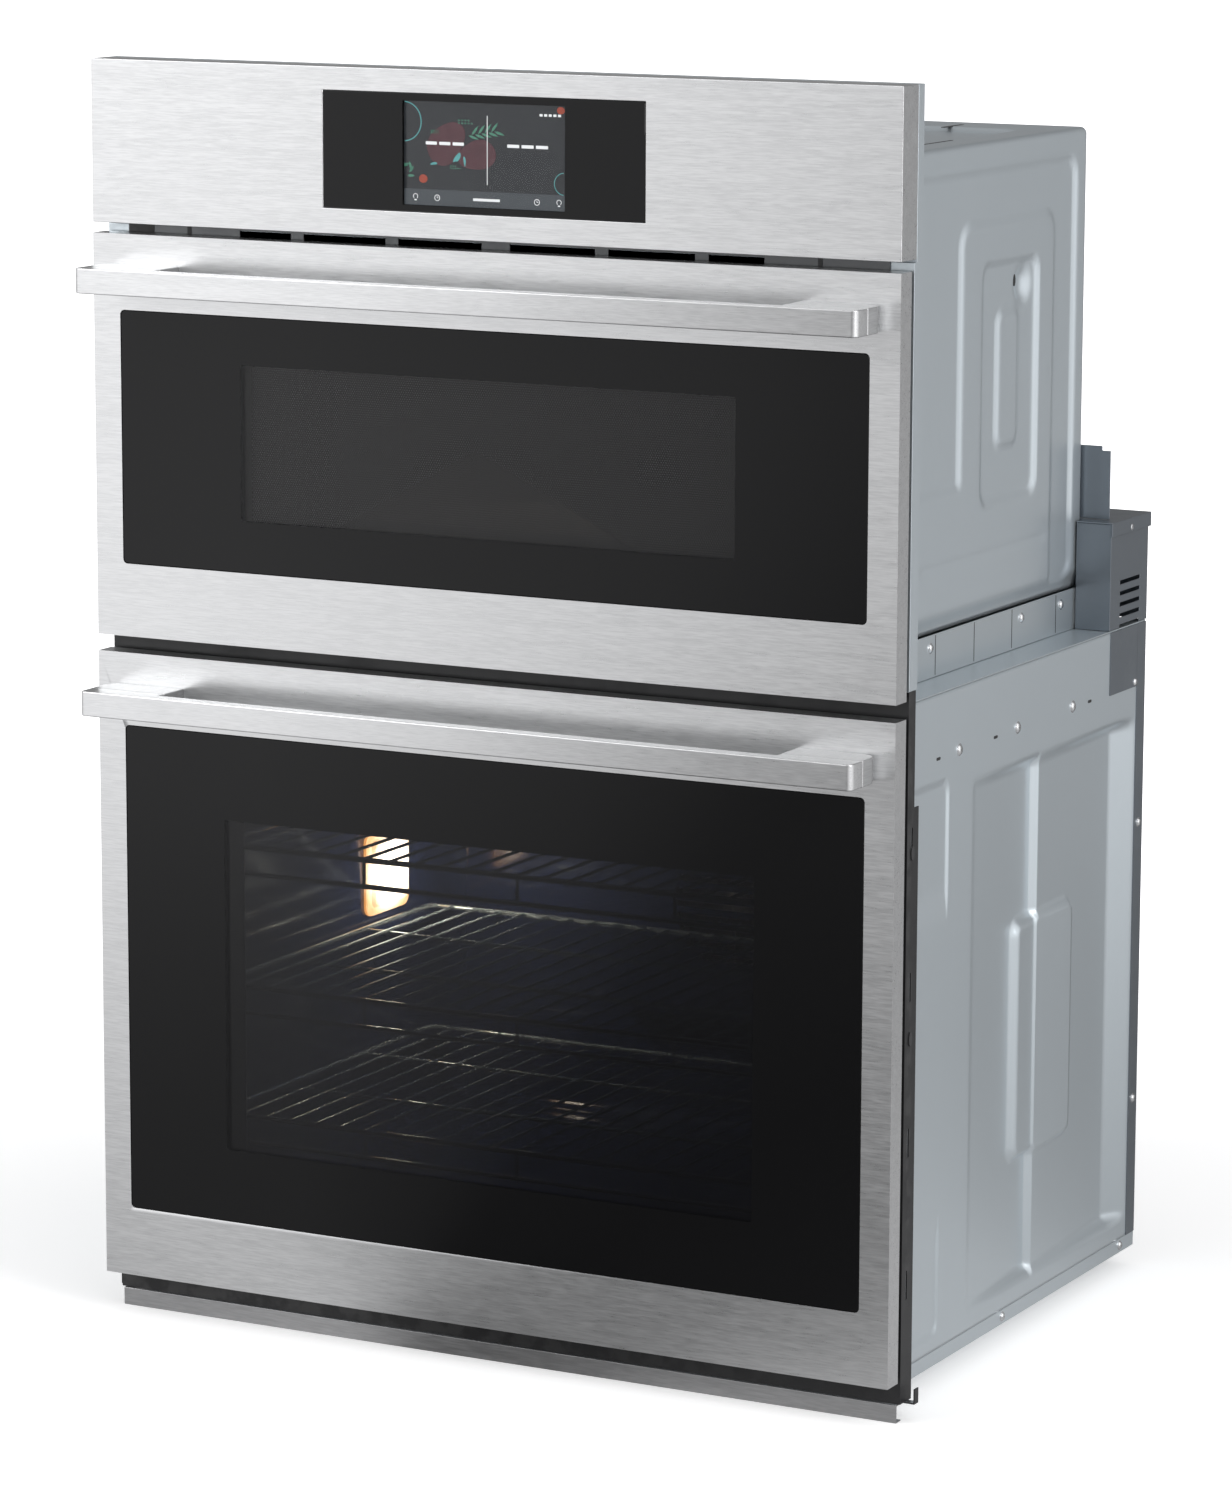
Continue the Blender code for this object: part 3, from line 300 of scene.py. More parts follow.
def sheet_paint(name, colour, shade, low, high, metallic=0.35, peel=0.05,
                rub=(0.6, 0.62, 0.63), worn_share=0.5, fine=420.0):
    """Coated steel sheet: faint orange peel, patches, and bright rubbed edges."""
    material, tree, shader, where = finish(name, metallic=metallic)
    marks = use(tree, "handling", where, Scale=4.0)
    edges = use(tree, "edges", where)
    base = blended(tree, marks.outputs["Patch"], shade, colour)
    worn = blended(tree, maths(tree, "MULTIPLY", edges.outputs["Mask"], worn_share), base, rub)
    wire(tree, worn, shader.inputs["Base Color"])
    gloss_between(tree, shader, marks.outputs["Smear"], low, high)
    rough_skin(tree, shader, noise(tree, where, fine, 2.0), peel, 0.0004)
    return material


def enamel(name, colour, fleck, low=0.10, high=0.22):
    material, tree, shader, where = finish(name, Coat_Weight=0.6, Coat_Roughness=0.06)
    flecks = use(tree, "flecks", where)
    marks = use(tree, "handling", where, Scale=7.0)
    base = blended(tree, marks.outputs["Patch"], tuple(c * 0.7 for c in colour), colour)
    coloured(tree, shader, flecks.outputs["Mask"], base, fleck)
    gloss_between(tree, shader, marks.outputs["Smear"], low, high)
    rough_skin(tree, shader, noise(tree, where, 90.0, 2.0), 0.06, 0.0008)
    return material


def plain_glass(name, tint, alpha, low=0.02, high=0.05, level=0.3):
    """Flat glass with a trace of fingerprints; the see-through share is the shader's own alpha."""
    material, tree, shader, where = finish(name, alpha=alpha, IOR=1.5, Specular_IOR_Level=level)
    marks = use(tree, "handling", where, Scale=6.0)
    coloured(tree, shader, marks.outputs["Patch"], tint, tuple(min(1.0, c * 1.25) for c in tint))
    gloss_between(tree, shader, marks.outputs["Smear"], low, high)
    return material


def bright_wire(name):
    material, tree, shader, where = finish(name, metallic=0.8)
    marks = use(tree, "handling", where, Scale=40.0)
    coloured(tree, shader, marks.outputs["Patch"], (0.42, 0.50, 0.52), (0.58, 0.68, 0.70))
    gloss_between(tree, shader, marks.outputs["Smear"], 0.05, 0.14)
    rough_skin(tree, shader, noise(tree, where, 700.0, 2.0), 0.05, 0.0003)
    return material


def oxidised_sheath(name):
    material, tree, shader, where = finish(name, metallic=0.6)
    patch = noise(tree, where, 55.0, 4.0)
    coloured(tree, shader, patch, (0.03, 0.028, 0.026), (0.14, 0.12, 0.10))
    gloss_between(tree, shader, patch, 0.35, 0.6)
    rough_skin(tree, shader, noise(tree, where, 500.0, 3.0), 0.2, 0.0003)
    return material


def woven_seal(name):
    material, tree, shader, where = finish(name)
    weave = add(tree, "TexWave", wave_type="BANDS", bands_direction="DIAGONAL")
    wire(tree, where, weave.inputs["Vector"])
    weave.inputs["Scale"].default_value = 180.0
    weave.inputs["Distortion"].default_value = 1.5
    coloured(tree, shader, weave.outputs["Fac"], (0.02, 0.02, 0.022), (0.11, 0.11, 0.11))
    gloss_between(tree, shader, weave.outputs["Fac"], 0.95, 0.75)
    rough_skin(tree, shader, weave.outputs["Fac"], 0.6, 0.0008)
    return material


def moulded_plastic(name, colour, low=0.35, high=0.5):
    material, tree, shader, where = finish(name)
    marks = use(tree, "handling", where, Scale=12.0)
    coloured(tree, shader, marks.outputs["Patch"], tuple(c * 0.8 for c in colour), colour)
    gloss_between(tree, shader, marks.outputs["Smear"], low, high)
    rough_skin(tree, shader, noise(tree, where, 900.0, 2.0), 0.12, 0.0002)
    return material


def glowing(name, inner, outer, strength, scale=30.0):
    """A lit surface, a little uneven in brightness."""
    material, tree, shader, where = finish(name, Emission_Strength=strength)
    patch = noise(tree, where, scale, 2.0)
    colour = blended(tree, patch, inner, outer)
    wire(tree, colour, shader.inputs["Emission Color"])
    coloured(tree, shader, patch, tuple(c * 0.5 for c in inner), tuple(c * 0.5 for c in outer))
    gloss_between(tree, shader, patch, 0.1, 0.2)
    return material


def lit_lens(name, centre, inner, outer, strength):
    """A glass lens over a bulb: near white in the middle, amber toward its rim."""
    material, tree, shader, where = finish(name, Emission_Strength=strength)
    offset = add(tree, "VectorMath", operation="DISTANCE")
    wire(tree, where, offset.inputs[0])
    offset.inputs[1].default_value = centre
    share = ramp(tree, offset.outputs["Value"], 0.010, 0.046)
    wire(tree, blended(tree, share, inner, outer), shader.inputs["Emission Color"])
    coloured(tree, shader, share, (0.8, 0.8, 0.78), (0.5, 0.4, 0.3))
    gloss_between(tree, shader, noise(tree, where, 60.0, 2.0), 0.1, 0.2)
    return material


def perforated(name, pitch=0.0022, hole=0.30):
    """Sheet with a staggered field of round holes, cut out by the alpha."""
    material, tree, shader, where = finish(name, metallic=0.5)
    parts = add(tree, "SeparateXYZ")
    wire(tree, where, parts.inputs[0])
    rows = []

    def within_cell(part, size, shift):
        moved = maths(tree, "ADD", maths(tree, "DIVIDE", parts.outputs[part], size), shift + 100.0)
        return maths(tree, "FRACT", moved, 0.0)

    for shift in (0.0, 0.5):
        across = within_cell(0, pitch, shift)
        upward = within_cell(2, pitch * 1.732, shift)
        dx = maths(tree, "SUBTRACT", across, 0.5)
        dz = maths(tree, "MULTIPLY", maths(tree, "SUBTRACT", upward, 0.5), 1.732)
        square = maths(tree, "ADD", maths(tree, "MULTIPLY", dx, dx), maths(tree, "MULTIPLY", dz, dz))
        rows.append(maths(tree, "SQRT", square, 0.0))
    nearest = maths(tree, "MINIMUM", rows[0], rows[1])
    solid = maths(tree, "GREATER_THAN", nearest, hole)
    wire(tree, solid, shader.inputs["Alpha"])
    coloured(tree, shader, nearest, (0.012, 0.012, 0.012), (0.045, 0.044, 0.042))
    gloss_between(tree, shader, nearest, 0.5, 0.35)
    return material


LOOKS = {
    "stainless": brushed_metal("brushed_stainless", (0.64, 0.645, 0.65), (0.78, 0.785, 0.79), 0.27, 0.36, 70.0, 1100.0),
    # Darker copy of the brushed stainless for the handle posts: the turned grain is real, the darker tone is painted
    # shade.
    "stainless_ends_shaded": brushed_metal("brushed_stainless_ends", (0.58, 0.585, 0.59), (0.72, 0.725, 0.73), 0.28, 0.38,
                                    70.0, 1100.0, turn=90.0),
    "case": sheet_paint("galvanised_case", (0.60, 0.655, 0.69), (0.575, 0.63, 0.665), 0.285, 0.290,
                        metallic=0.75, peel=0.04, worn_share=0.0, fine=11.0),
    "case_bright": sheet_paint("galvanised_rail", (0.60, 0.65, 0.68), (0.56, 0.61, 0.64), 0.280, 0.285,
                               metallic=0.8, peel=0.04, worn_share=0.0, fine=14.0),
    "dark": sheet_paint("dark_duct_sheet", (0.22, 0.245, 0.27), (0.19, 0.21, 0.235), 0.28, 0.34,
                        metallic=0.8, peel=0.12, worn_share=0.2, fine=14.0, rub=(0.5, 0.51, 0.52)),
    "black": sheet_paint("black_frame_paint", (0.014, 0.014, 0.015), (0.009, 0.009, 0.010), 0.40, 0.52, metallic=0.0,
                         rub=(0.06, 0.06, 0.06)),
    "strip": sheet_paint("vent_strip_sheet", (0.16, 0.165, 0.17), (0.13, 0.134, 0.138), 0.35, 0.42,
                         metallic=0.6, worn_share=0.1),
    "trim": brushed_metal("brushed_trim", (0.40, 0.40, 0.405), (0.50, 0.50, 0.505), 0.32, 0.42, 70.0, 1100.0),
    "zinc": brushed_metal("zinc_plate", (0.40, 0.40, 0.38), (0.62, 0.62, 0.60), 0.28, 0.45, 80.0, 160.0),
    "print": plain_glass("black_printed_glass", (0.003, 0.003, 0.0033), 1.0, level=0.25),
    "door_glass": plain_glass("smoked_door_glass", (0.002, 0.002, 0.003), 0.30, level=0.8),
    "clear": plain_glass("clear_inner_glass", (0.004, 0.005, 0.006), 0.05, level=0.1),
    "tray": plain_glass("turntable_glass", (0.35, 0.38, 0.38), 0.35),
    "enamel": enamel("blue_black_enamel", (0.008, 0.013, 0.040), (0.07, 0.09, 0.16)),
    "grey_enamel": enamel("warm_grey_enamel", (0.13, 0.105, 0.075), (0.20, 0.17, 0.13)),
    "wire": bright_wire("plated_rack_wire"),
    "sheath": oxidised_sheath("element_sheath"),
    "seal": woven_seal("glass_fibre_rope"),
    "plastic": moulded_plastic("black_moulding", (0.03, 0.03, 0.032)),
    "board": moulded_plastic("green_board", (0.02, 0.12, 0.05), 0.3, 0.4),
    "screen": glowing("screen_backlight", (0.018, 0.020, 0.023), (0.023, 0.026, 0.029), 1.0, 18.0),
    "mesh": perforated("perforated_screen"),
    "lens": lit_lens("lit_lamp_lens", sum(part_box("oven_lamp"), Vector()) / 2,
                     (1.0, 0.92, 0.74), (0.20, 0.085, 0.022), 9.0),
    "aluminium": brushed_metal("cast_aluminium", (0.50, 0.50, 0.50), (0.66, 0.66, 0.66), 0.35, 0.5, 60.0, 120.0),
    "screw": brushed_metal("screw_plate", (0.62, 0.63, 0.64), (0.85, 0.86, 0.87), 0.15, 0.28, 200.0, 200.0),
}


# ---------------------------------------------------------------- mesh helpers
def body_of(node):
    return next(name for name, nodes in frame["record"]["behaviour"]["bodies"].items() if node in nodes)


def finished(name, built, look, body, smooth=35.0):
    """Links a bmesh made in the row frame as a piece that rides on a body."""
    bmesh.ops.recalc_face_normals(built, faces=built.faces)
    mesh = bpy.data.meshes.new(name)
    built.to_mesh(mesh)
    built.free()
    mesh.shade_smooth()
    mesh.set_sharp_from_angle(angle=math.radians(smooth))
    piece = bpy.data.objects.new(name, mesh)
    bpy.context.scene.collection.objects.link(piece)
    mesh.materials.append(LOOKS[look])
    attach(piece, body)
    return piece


def bevelled(piece, width, segments=3, angle=30.0):
    change = piece.modifiers.new("edge_radius", "BEVEL")
    change.width = width
    change.segments = segments
    change.limit_method = "ANGLE"
    change.angle_limit = math.radians(angle)
    change.harden_normals = True
    return piece


def opening_corners(built, pane):
    """The edges through the sheet at the four corners of a glazed opening."""
    low, high = pane
    found = []
    for edge in built.edges:
        first, second = (v.co for v in edge.verts)
        straight = abs(first.x - second.x) < 1e-5 and abs(first.z - second.z) < 1e-5 and abs(first.y - second.y) > 1e-4
        across = min(abs(first.x - low.x), abs(first.x - high.x)) < 0.002
        upward = min(abs(first.z - low.z), abs(first.z - high.z)) < 0.002
        if straight and across and upward:
            found.append(edge)
    return found


def refined(node, look, radius, segments=2, name=None, opening=None):
    """A copy of a CAD node with flat faces joined and its edges rounded, standing for that node."""
    built = bmesh.new()
    built.from_mesh(frame["nodes"][node].data)
    bmesh.ops.remove_doubles(built, verts=built.verts, dist=1e-6)
    bmesh.ops.dissolve_limit(built, angle_limit=math.radians(0.5), verts=built.verts, edges=built.edges)
    if opening:
        bmesh.ops.bevel(built, geom=opening_corners(built, opening), offset=OPENING_RADIUS, segments=5,
                        affect="EDGES", profile=0.5)
    piece = finished(name or f"{node}_finish", built, look, body_of(node))
    if radius:
        bevelled(piece, radius, segments)
    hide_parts(node)
    return piece


def arc(x, y, radius, start, end, steps=6):
    """Points of an arc, both ends included, with angles in degrees."""
    angles = [math.radians(start + (end - start) * i / steps) for i in range(steps + 1)]
    return [(x + radius * math.cos(a), y + radius * math.sin(a)) for a in angles]


def rounded_rectangle(x0, x1, z0, z1, radius, steps=6):
    return [
        *arc(x1 - radius, z0 + radius, radius, -90, 0, steps),
        *arc(x1 - radius, z1 - radius, radius, 0, 90, steps),
        *arc(x0 + radius, z1 - radius, radius, 90, 180, steps),
        *arc(x0 + radius, z0 + radius, radius, 180, 270, steps),
    ]


def bridge(built, loops, closed=True, cap_first=False, cap_last=False):
    """Joins successive loops of points with quads."""
    rings = [[built.verts.new(p) for p in loop] for loop in loops]
    for first, second in zip(rings, rings[1:]):
        count = len(first)
        for i in range(count if closed else count - 1):
            j = (i + 1) % count
            built.faces.new((first[i], first[j], second[j], second[i]))
    if cap_first:
        built.faces.new(rings[0])
    if cap_last:
        built.faces.new(rings[-1])
    return rings


def prism(outline, low, high, lift):
    """A bmesh prism: each outline point (a, b) is placed at two levels by lift(a, b, level)."""
    built = bmesh.new()
    bridge(built, [[lift(a, b, level) for a, b in outline] for level in (low, high)], True, True, True)
    return built


def merged(pieces):
    """One bmesh from several."""
    whole = bmesh.new()
    for piece in pieces:
        mesh = bpy.data.meshes.new("scratch")
        piece.to_mesh(mesh)
        piece.free()
        whole.from_mesh(mesh)
        bpy.data.meshes.remove(mesh)
    return whole


def rod(start, end, radius, sides=10):
    built = bmesh.new()
    start, end = Vector(start), Vector(end)
    turn = (end - start).to_track_quat("Z", "Y").to_matrix()
    ring = [(radius * math.cos(a), radius * math.sin(a)) for a in (2 * math.pi * i / sides for i in range(sides))]
    bridge(built, [[c + turn @ Vector((x, y, 0)) for x, y in ring] for c in (start, end)], True, True, True)
    return built


def bent_wire(points, radius, corner=0.006, sides=8):
    """A round wire along straight runs, with rounded corners."""
    path = [Vector(points[0])]
    for before, here, after in zip(points, points[1:], points[2:]):
        before, here, after = Vector(before), Vector(here), Vector(after)
        inward, outward = (before - here).normalized(), (after - here).normalized()
        for i in range(5):
            t = i / 4
            path.append(here + inward * corner * (1 - t) ** 2 + outward * corner * t ** 2)
    path.append(Vector(points[-1]))
    built = bmesh.new()
    loops = []
    side = None
    for i, point in enumerate(path):
        ahead = (path[min(i + 1, len(path) - 1)] - path[max(i - 1, 0)]).normalized()
        if side is None:
            side = ahead.orthogonal().normalized()
        side = (side - ahead * side.dot(ahead)).normalized()
        up = ahead.cross(side)
        angles = [2 * math.pi * k / sides for k in range(sides)]
        loops.append([point + radius * (math.cos(a) * side + math.sin(a) * up) for a in angles])
    bridge(built, loops, True, True, True)
    return built


def facing(point, axis):
    """A matrix that puts +Z along an axis at a point."""
    return Matrix.Translation(point) @ Vector(axis).to_track_quat("Z", "Y").to_matrix().to_4x4()


def pan_screw(point, axis, radius=0.0042, height=0.0022):
    """A pan-head screw with a cross recess, sitting on a washer flange."""
    built = bmesh.new()
    steps = 20
    profile = [(1.28, 0.0), (1.28, 0.16), (1.02, 0.22), (0.98, 0.55), (0.80, 0.86), (0.45, 1.0)]
    loops = []
    for share, rise in profile:
        angles = [2 * math.pi * i / steps for i in range(steps)]
        reach = radius * share
        loops.append([Vector((reach * math.cos(a), reach * math.sin(a), height * rise)) for a in angles])
    recess = []
    for i in range(steps):
        a = 2 * math.pi * i / steps
        deep = 0.45 if i % 5 == 0 else 0.12
        recess.append(Vector((radius * deep * math.cos(a), radius * deep * math.sin(a), height * 0.98)))
    floor = [Vector((p.x * 0.8, p.y * 0.8, height * 0.35)) for p in recess]
    bridge(built, [*loops, recess, floor], True, True, True)
    built.transform(facing(Vector(point), axis))
    return built


def screws(name, places, axis, body, radius=0.0042):
    return finished(name, merged([pan_screw(p, axis, radius) for p in places]), "screw", body, smooth=40.0)


def smoothstep(low, high, value):
    share = np.clip((value - low) / (high - low), 0.0, 1.0)
    return share * share * (3.0 - 2.0 * share)


def inside_box(a, b, a0, a1, b0, b1, wall, radius):
    """1 inside a rounded rectangle, falling to 0 across a wall of the given width."""
    ca, cb = (a0 + a1) / 2, (b0 + b1) / 2
    qa = np.abs(a - ca) - (a1 - a0) / 2 + radius
    qb = np.abs(b - cb) - (b1 - b0) / 2 + radius
    gap = np.hypot(np.maximum(qa, 0), np.maximum(qb, 0)) + np.minimum(np.maximum(qa, qb), 0) - radius
    return 1.0 - smoothstep(-wall, 0.0, gap)


def ridge(value, centre, half):
    return np.exp(-(((value - centre) / half) ** 2))


# ---------------------------------------------------------------- stainless front
LOWER_WINDOW = (LOWER_GLASS[1].x - 0.0985, LOWER_GLASS[0].z + 0.0637, LOWER_GLASS[1].z - 0.0746)
UPPER_WINDOW = (UPPER_GLASS[1].x - 0.1182, UPPER_GLASS[0].z + 0.0438, UPPER_GLASS[1].z - 0.0410)

for node, look, radius in (
    ("control_fascia", "stainless", 0.0009),
    ("lower_door_skin", "stainless", 0.0009),
    ("upper_door_skin", "stainless", 0.0009),
    ("bottom_trim", "trim", 0.0004),
    ("lower_front_frame", "black", 0.0004),
    ("upper_front_frame", "case", 0.0004),
    ("vent_grille", "strip", 0.0003),
    ("lower_door_liner", "black", 0.0004),
    ("upper_door_liner", "black", 0.0004),
    ("base_pan", "case", 0.0004),
    ("upper_base_rail", "case_bright", 0.0004),
    ("lower_deck", "case", 0.0003),
    ("lower_back_panel", "dark", 0.0),
    ("rear_duct_box", "dark", 0.0004),
    ("rear_duct_cap", "dark", 0.0004),
    ("rear_shield", "dark", 0.0004),
    *((f"{door}_hinge_{part}_{side}", "zinc", 0.0003)
      for part in ("bracket", "arm") for door in ("lower", "upper") for side in ("left", "right")),
    ("latch_hook", "zinc", 0.0004),
    ("blower_housing", "case_bright", 0.0006),
    ("blower_wheel", "plastic", 0.0),
    ("power_supply", "dark", 0.0004),
    ("magnetron", "aluminium", 0.0004),
    ("turntable_motor", "zinc", 0.0003),
    ("fan_motor", "zinc", 0.0005),
    ("control_board", "board", 0.0003),
    ("fan_cover", "enamel", 0.0008),
    ("convection_fan", "aluminium", 0.0),
    ("convection_element", "sheath", 0.0),
    ("bake_element", "sheath", 0.0),
    ("broil_element", "sheath", 0.0),
    ("temperature_sensor", "zinc", 0.0),
    ("roller_ring", "plastic", 0.0),
    ("lower_gasket", "seal", 0.0008),
    ("upper_door_screen", "mesh", 0.0),
    ("lower_door_middle_glass", "clear", 0.0004),
    ("lower_door_inner_glass", "clear", 0.0004),
    ("upper_door_inner_glass", "clear", 0.0004),
):
    refined(node, look, radius, opening={"lower_door_skin": LOWER_GLASS, "upper_door_skin": UPPER_GLASS}.get(node))

trim = bpy.data.objects["bottom_trim_finish"]
trim.data.materials.append(LOOKS["black"])
for face in trim.data.polygons:
    if abs(face.center.x) > LOWER_SKIN[1].x + 0.0005:
        face.material_index = 1


def printed_pane(prefix, pane, window, corner=0.004):
    """Door glass: a black printed border round a smoked window, in one sheet."""
    low, high = pane
    half, z0, z1 = window
    built = bmesh.new()
    edge = 0.0006

    def outline(inset, y):
        points = rounded_rectangle(low.x + inset, high.x - inset, low.z + inset, high.z - inset, corner - inset)
        return [(x, y, z) for x, z in points]

    def sight(y):
        return [(x, y, z) for x, z in rounded_rectangle(-half, half, z0, z1, 0.0018)]

    loops = [sight(low.y), outline(edge, low.y), outline(0, low.y + edge), outline(0, high.y), sight(high.y)]
    bridge(built, loops, True, True, True)
    piece = finished(f"{prefix}_door_glass_pane", built, "print", body_of(f"{prefix}_door_glass"))
    piece.data.materials.append(LOOKS["door_glass"])
    for face in piece.data.polygons:
        if len(face.vertices) > 4:
            face.material_index = 1
    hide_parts(f"{prefix}_door_glass")


printed_pane("lower", LOWER_GLASS, LOWER_WINDOW)
printed_pane("upper", UPPER_GLASS, UPPER_WINDOW)


def handle(prefix):
    """A flat bar with rounded ends, its short legs, and a post behind each leg."""
    node = f"{prefix}_handle"
    low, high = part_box(node)
    body = body_of(node)
    half, post, seam = high.x, 0.072, 0.0215
    bar_back = low.y + 0.013
    front, back = low.y, high.y
    front_radius, rear_radius = 0.005, 0.015
    split = low.y + seam
    legs = [
        (-half, split),
        *arc(-half + front_radius, front + front_radius, front_radius, 180, 270),
        *arc(half - front_radius, front + front_radius, front_radius, 270, 360),
        (half, split),
        (half - post, split),
        (half - post, bar_back),
        (post - half, bar_back),
        (post - half, split),
    ]
    bar = finished(f"{prefix}_handle_bar", prism(legs, low.z, high.z, lambda x, y, z: (x, y, z)),
                   "stainless", body)
    bevelled(bar, 0.0011, 3)
    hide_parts(node)
    for side, sign in (("left", -1), ("right", 1)):
        outer = [
            (half, split),
            *arc(half - rear_radius, back - rear_radius, rear_radius, 0, 90),
            (half - post, back),
            (half - post, split),
        ]
        shape = prism([(sign * x, y) for x, y in outer], low.z, high.z, lambda x, y, z: (x, y, z))
        # The posts take the darker stainless copy; its darker tone is painted shade.
        stub = finished(f"{prefix}_handle_post_{side}", shape, "stainless_ends_shaded", body)
        bevelled(stub, 0.0008, 3)


handle("lower")
handle("upper")


# ---------------------------------------------------------------- display
def flat_shape(outline, level, thick=0.00012):
    return prism(outline, level, level + thick, lambda x, z, y: (x, y, z))


def ellipse(x, z, rx, rz, steps=24):
    points = []
    for i in range(steps):
        a = 2 * math.pi * i / steps
        points.append((x + rx * math.cos(a), z + rz * math.sin(a)))
    return points


def ring_shape(x, z, outer, inner, level, start=0, end=360, steps=28, thick=0.00012):
    built = bmesh.new()
    whole = end - start >= 360
    count = steps if whole else steps + 1
    angles = [math.radians(start + (end - start) * i / steps) for i in range(count)]
    loops = []
    for radius, y in ((outer, level), (outer, level + thick), (inner, level + thick), (inner, level)):
        loops.append([(x + radius * math.cos(a), y, z + radius * math.sin(a)) for a in angles])
    rings = [[built.verts.new(p) for p in loop] for loop in loops]
    for first, second in zip(rings, [*rings[1:], rings[0]]):
        for i in range(count if whole else count - 1):
            j = (i + 1) % count
            built.faces.new((first[i], first[j], second[j], second[i]))
    if not whole:
        built.faces.new([r[0] for r in rings])
        built.faces.new([r[-1] for r in rings])
    return built


def bar_shape(x0, x1, z0, z1, level, radius=0.0004):
    return flat_shape(rounded_rectangle(x0, x1, z0, z1, radius, 3), level)


low, high = DISPLAY_GLASS
screen_x = (-0.0745, 0.0770)
screen_z = (low.z + 0.0055, high.z - 0.0060)
pane = bmesh.new()


def panel_outline(inset, y):
    points = rounded_rectangle(low.x + inset, high.x - inset, low.z + inset, high.z - inset, 0.0022 - inset, 4)
    return [(x, y, z) for x, z in points]


def screen_outline(y):
    return [(x, y, z) for x, z in rounded_rectangle(*screen_x, *screen_z, 0.0006, 4)]


bridge(pane, [screen_outline(low.y), panel_outline(0.0004, low.y), panel_outline(0, low.y + 0.0004),
              panel_outline(0, high.y), screen_outline(high.y)], True, True, True)
control_pane = finished("control_glass_pane", pane, "print", "chassis")
LOOKS["cover_glass"] = plain_glass("display_cover_glass", (0.02, 0.02, 0.022), 0.06)
control_pane.data.materials.append(LOOKS["cover_glass"])
for face in control_pane.data.polygons:
    if len(face.vertices) > 4:
        face.material_index = 1
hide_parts("control_glass")

refined("display_module", "screen", 0.0003, name="display_backlight")
level = high.y + 0.00004
wide_x, tall_z = screen_x[1] - screen_x[0], screen_z[1] - screen_z[0]


def spot(u, v):
    """A point on the screen, from shares of its width and height."""
    return screen_x[0] + u * wide_x, screen_z[0] + v * tall_z


LOOKS["lit_white"] = glowing("screen_white", (0.55, 0.57, 0.58), (0.66, 0.67, 0.68), 1.0)
LOOKS["lit_teal"] = glowing("screen_teal", (0.05, 0.20, 0.21), (0.10, 0.30, 0.30), 1.0, 300.0)
LOOKS["lit_green"] = glowing("screen_green", (0.03, 0.10, 0.07), (0.07, 0.20, 0.14), 1.0, 400.0)
LOOKS["lit_meat"] = glowing("screen_meat", (0.038, 0.016, 0.020), (0.085, 0.038, 0.046), 1.0, 160.0)
LOOKS["lit_red"] = glowing("screen_red", (0.20, 0.035, 0.022), (0.30, 0.06, 0.035), 1.0, 300.0)
LOOKS["lit_bar"] = glowing("screen_footer", (0.045, 0.052, 0.058), (0.052, 0.060, 0.068), 1.0)


def blob(u, v, ru, rv, wobble, turn, seed):
    """An uneven rounded outline on the screen."""
    x, z = spot(u, v)
    points = []
    for i in range(36):
        a = 2 * math.pi * i / 36
        swell = 1 + wobble * math.sin(2 * a + seed) + wobble * 0.6 * math.sin(3 * a + 2.1 * seed)
        p, q = ru * wide_x * swell * math.cos(a), rv * wide_x * swell * math.sin(a)
        c, s = math.cos(turn), math.sin(turn)
        points.append((x + p * c - q * s, z + p * s + q * c))
    return points


def leaf(u, v, length, width, turn):
    x, z = spot(u, v)
    c, s = math.cos(turn), math.sin(turn)
    outline = [(0, 0), (0.3, 0.5), (0.65, 0.42), (1, 0), (0.65, -0.42), (0.3, -0.5)]
    return [(x + length * p * c - width * q * s, z + length * p * s + width * q * c) for p, q in outline]


def dots(count, place, rx, rz):
    """Small round dots on the screen; place(i) gives each one's shares of its width and height."""
    return [flat_shape(ellipse(*spot(*place(i)), rx, rz, 8), level) for i in range(count)]


step_up = -0.00005
art = {
    "screen_footer_band": ("lit_bar", [bar_shape(*screen_x, screen_z[0], screen_z[0] + 0.155 * tall_z, level)]),
    "screen_cuts": ("lit_meat", [flat_shape(blob(0.26, 0.60, 0.125, 0.105, 0.10, 0.5, 0.4), level),
                                 flat_shape(blob(0.455, 0.50, 0.110, 0.085, 0.08, 0.3, 2.2), level)]),
    "screen_leaves": ("lit_green", [
        *[flat_shape(leaf(0.40 + 0.020 * i, 0.685 + 0.006 * i, 0.010, 0.0022, 0.2 + (0.7 if i % 2 else -0.5)),
                     level + step_up) for i in range(9)],
        *[flat_shape(leaf(0.02 + 0.011 * (i % 3), 0.28 + 0.03 * i, 0.007, 0.0024, 0.9 * i), level) for i in range(5)],
        *dots(8, lambda i: (0.17 + 0.013 * (i % 4), 0.70 + 0.018 * (i // 4)), 0.0007, 0.0007),
        *dots(9, lambda i: (0.34 + 0.02 * (i % 5), 0.80 + 0.028 * (i // 5)), 0.0009, 0.0007),
        *dots(8, lambda i: (0.29 + 0.014 * (i % 5), 0.365 + 0.022 * (i // 5)), 0.0006, 0.0006),
    ]),
    "screen_rings": ("lit_teal", [
        ring_shape(*spot(0.0, 0.80), 0.0165, 0.0156, level, -88, 88),
        ring_shape(*spot(0.985, 0.26), 0.0092, 0.0086, level, 92, 268),
        flat_shape(blob(0.33, 0.47, 0.012, 0.035, 0.2, -0.6, 1.0), level + step_up),
        flat_shape(blob(0.185, 0.405, 0.018, 0.008, 0.2, 0.2, 1.9), level + step_up),
        flat_shape(blob(0.375, 0.44, 0.006, 0.028, 0.2, 0.2, 0.6), level + step_up),
    ]),
    "screen_fruit": ("lit_red", [flat_shape(ellipse(*spot(0.118, 0.255), 0.0040, 0.0035), level),
                                 flat_shape(ellipse(*spot(0.965, 0.955), 0.0036, 0.0030), level)]),
}
mark_level = level + 2 * step_up
marks = []
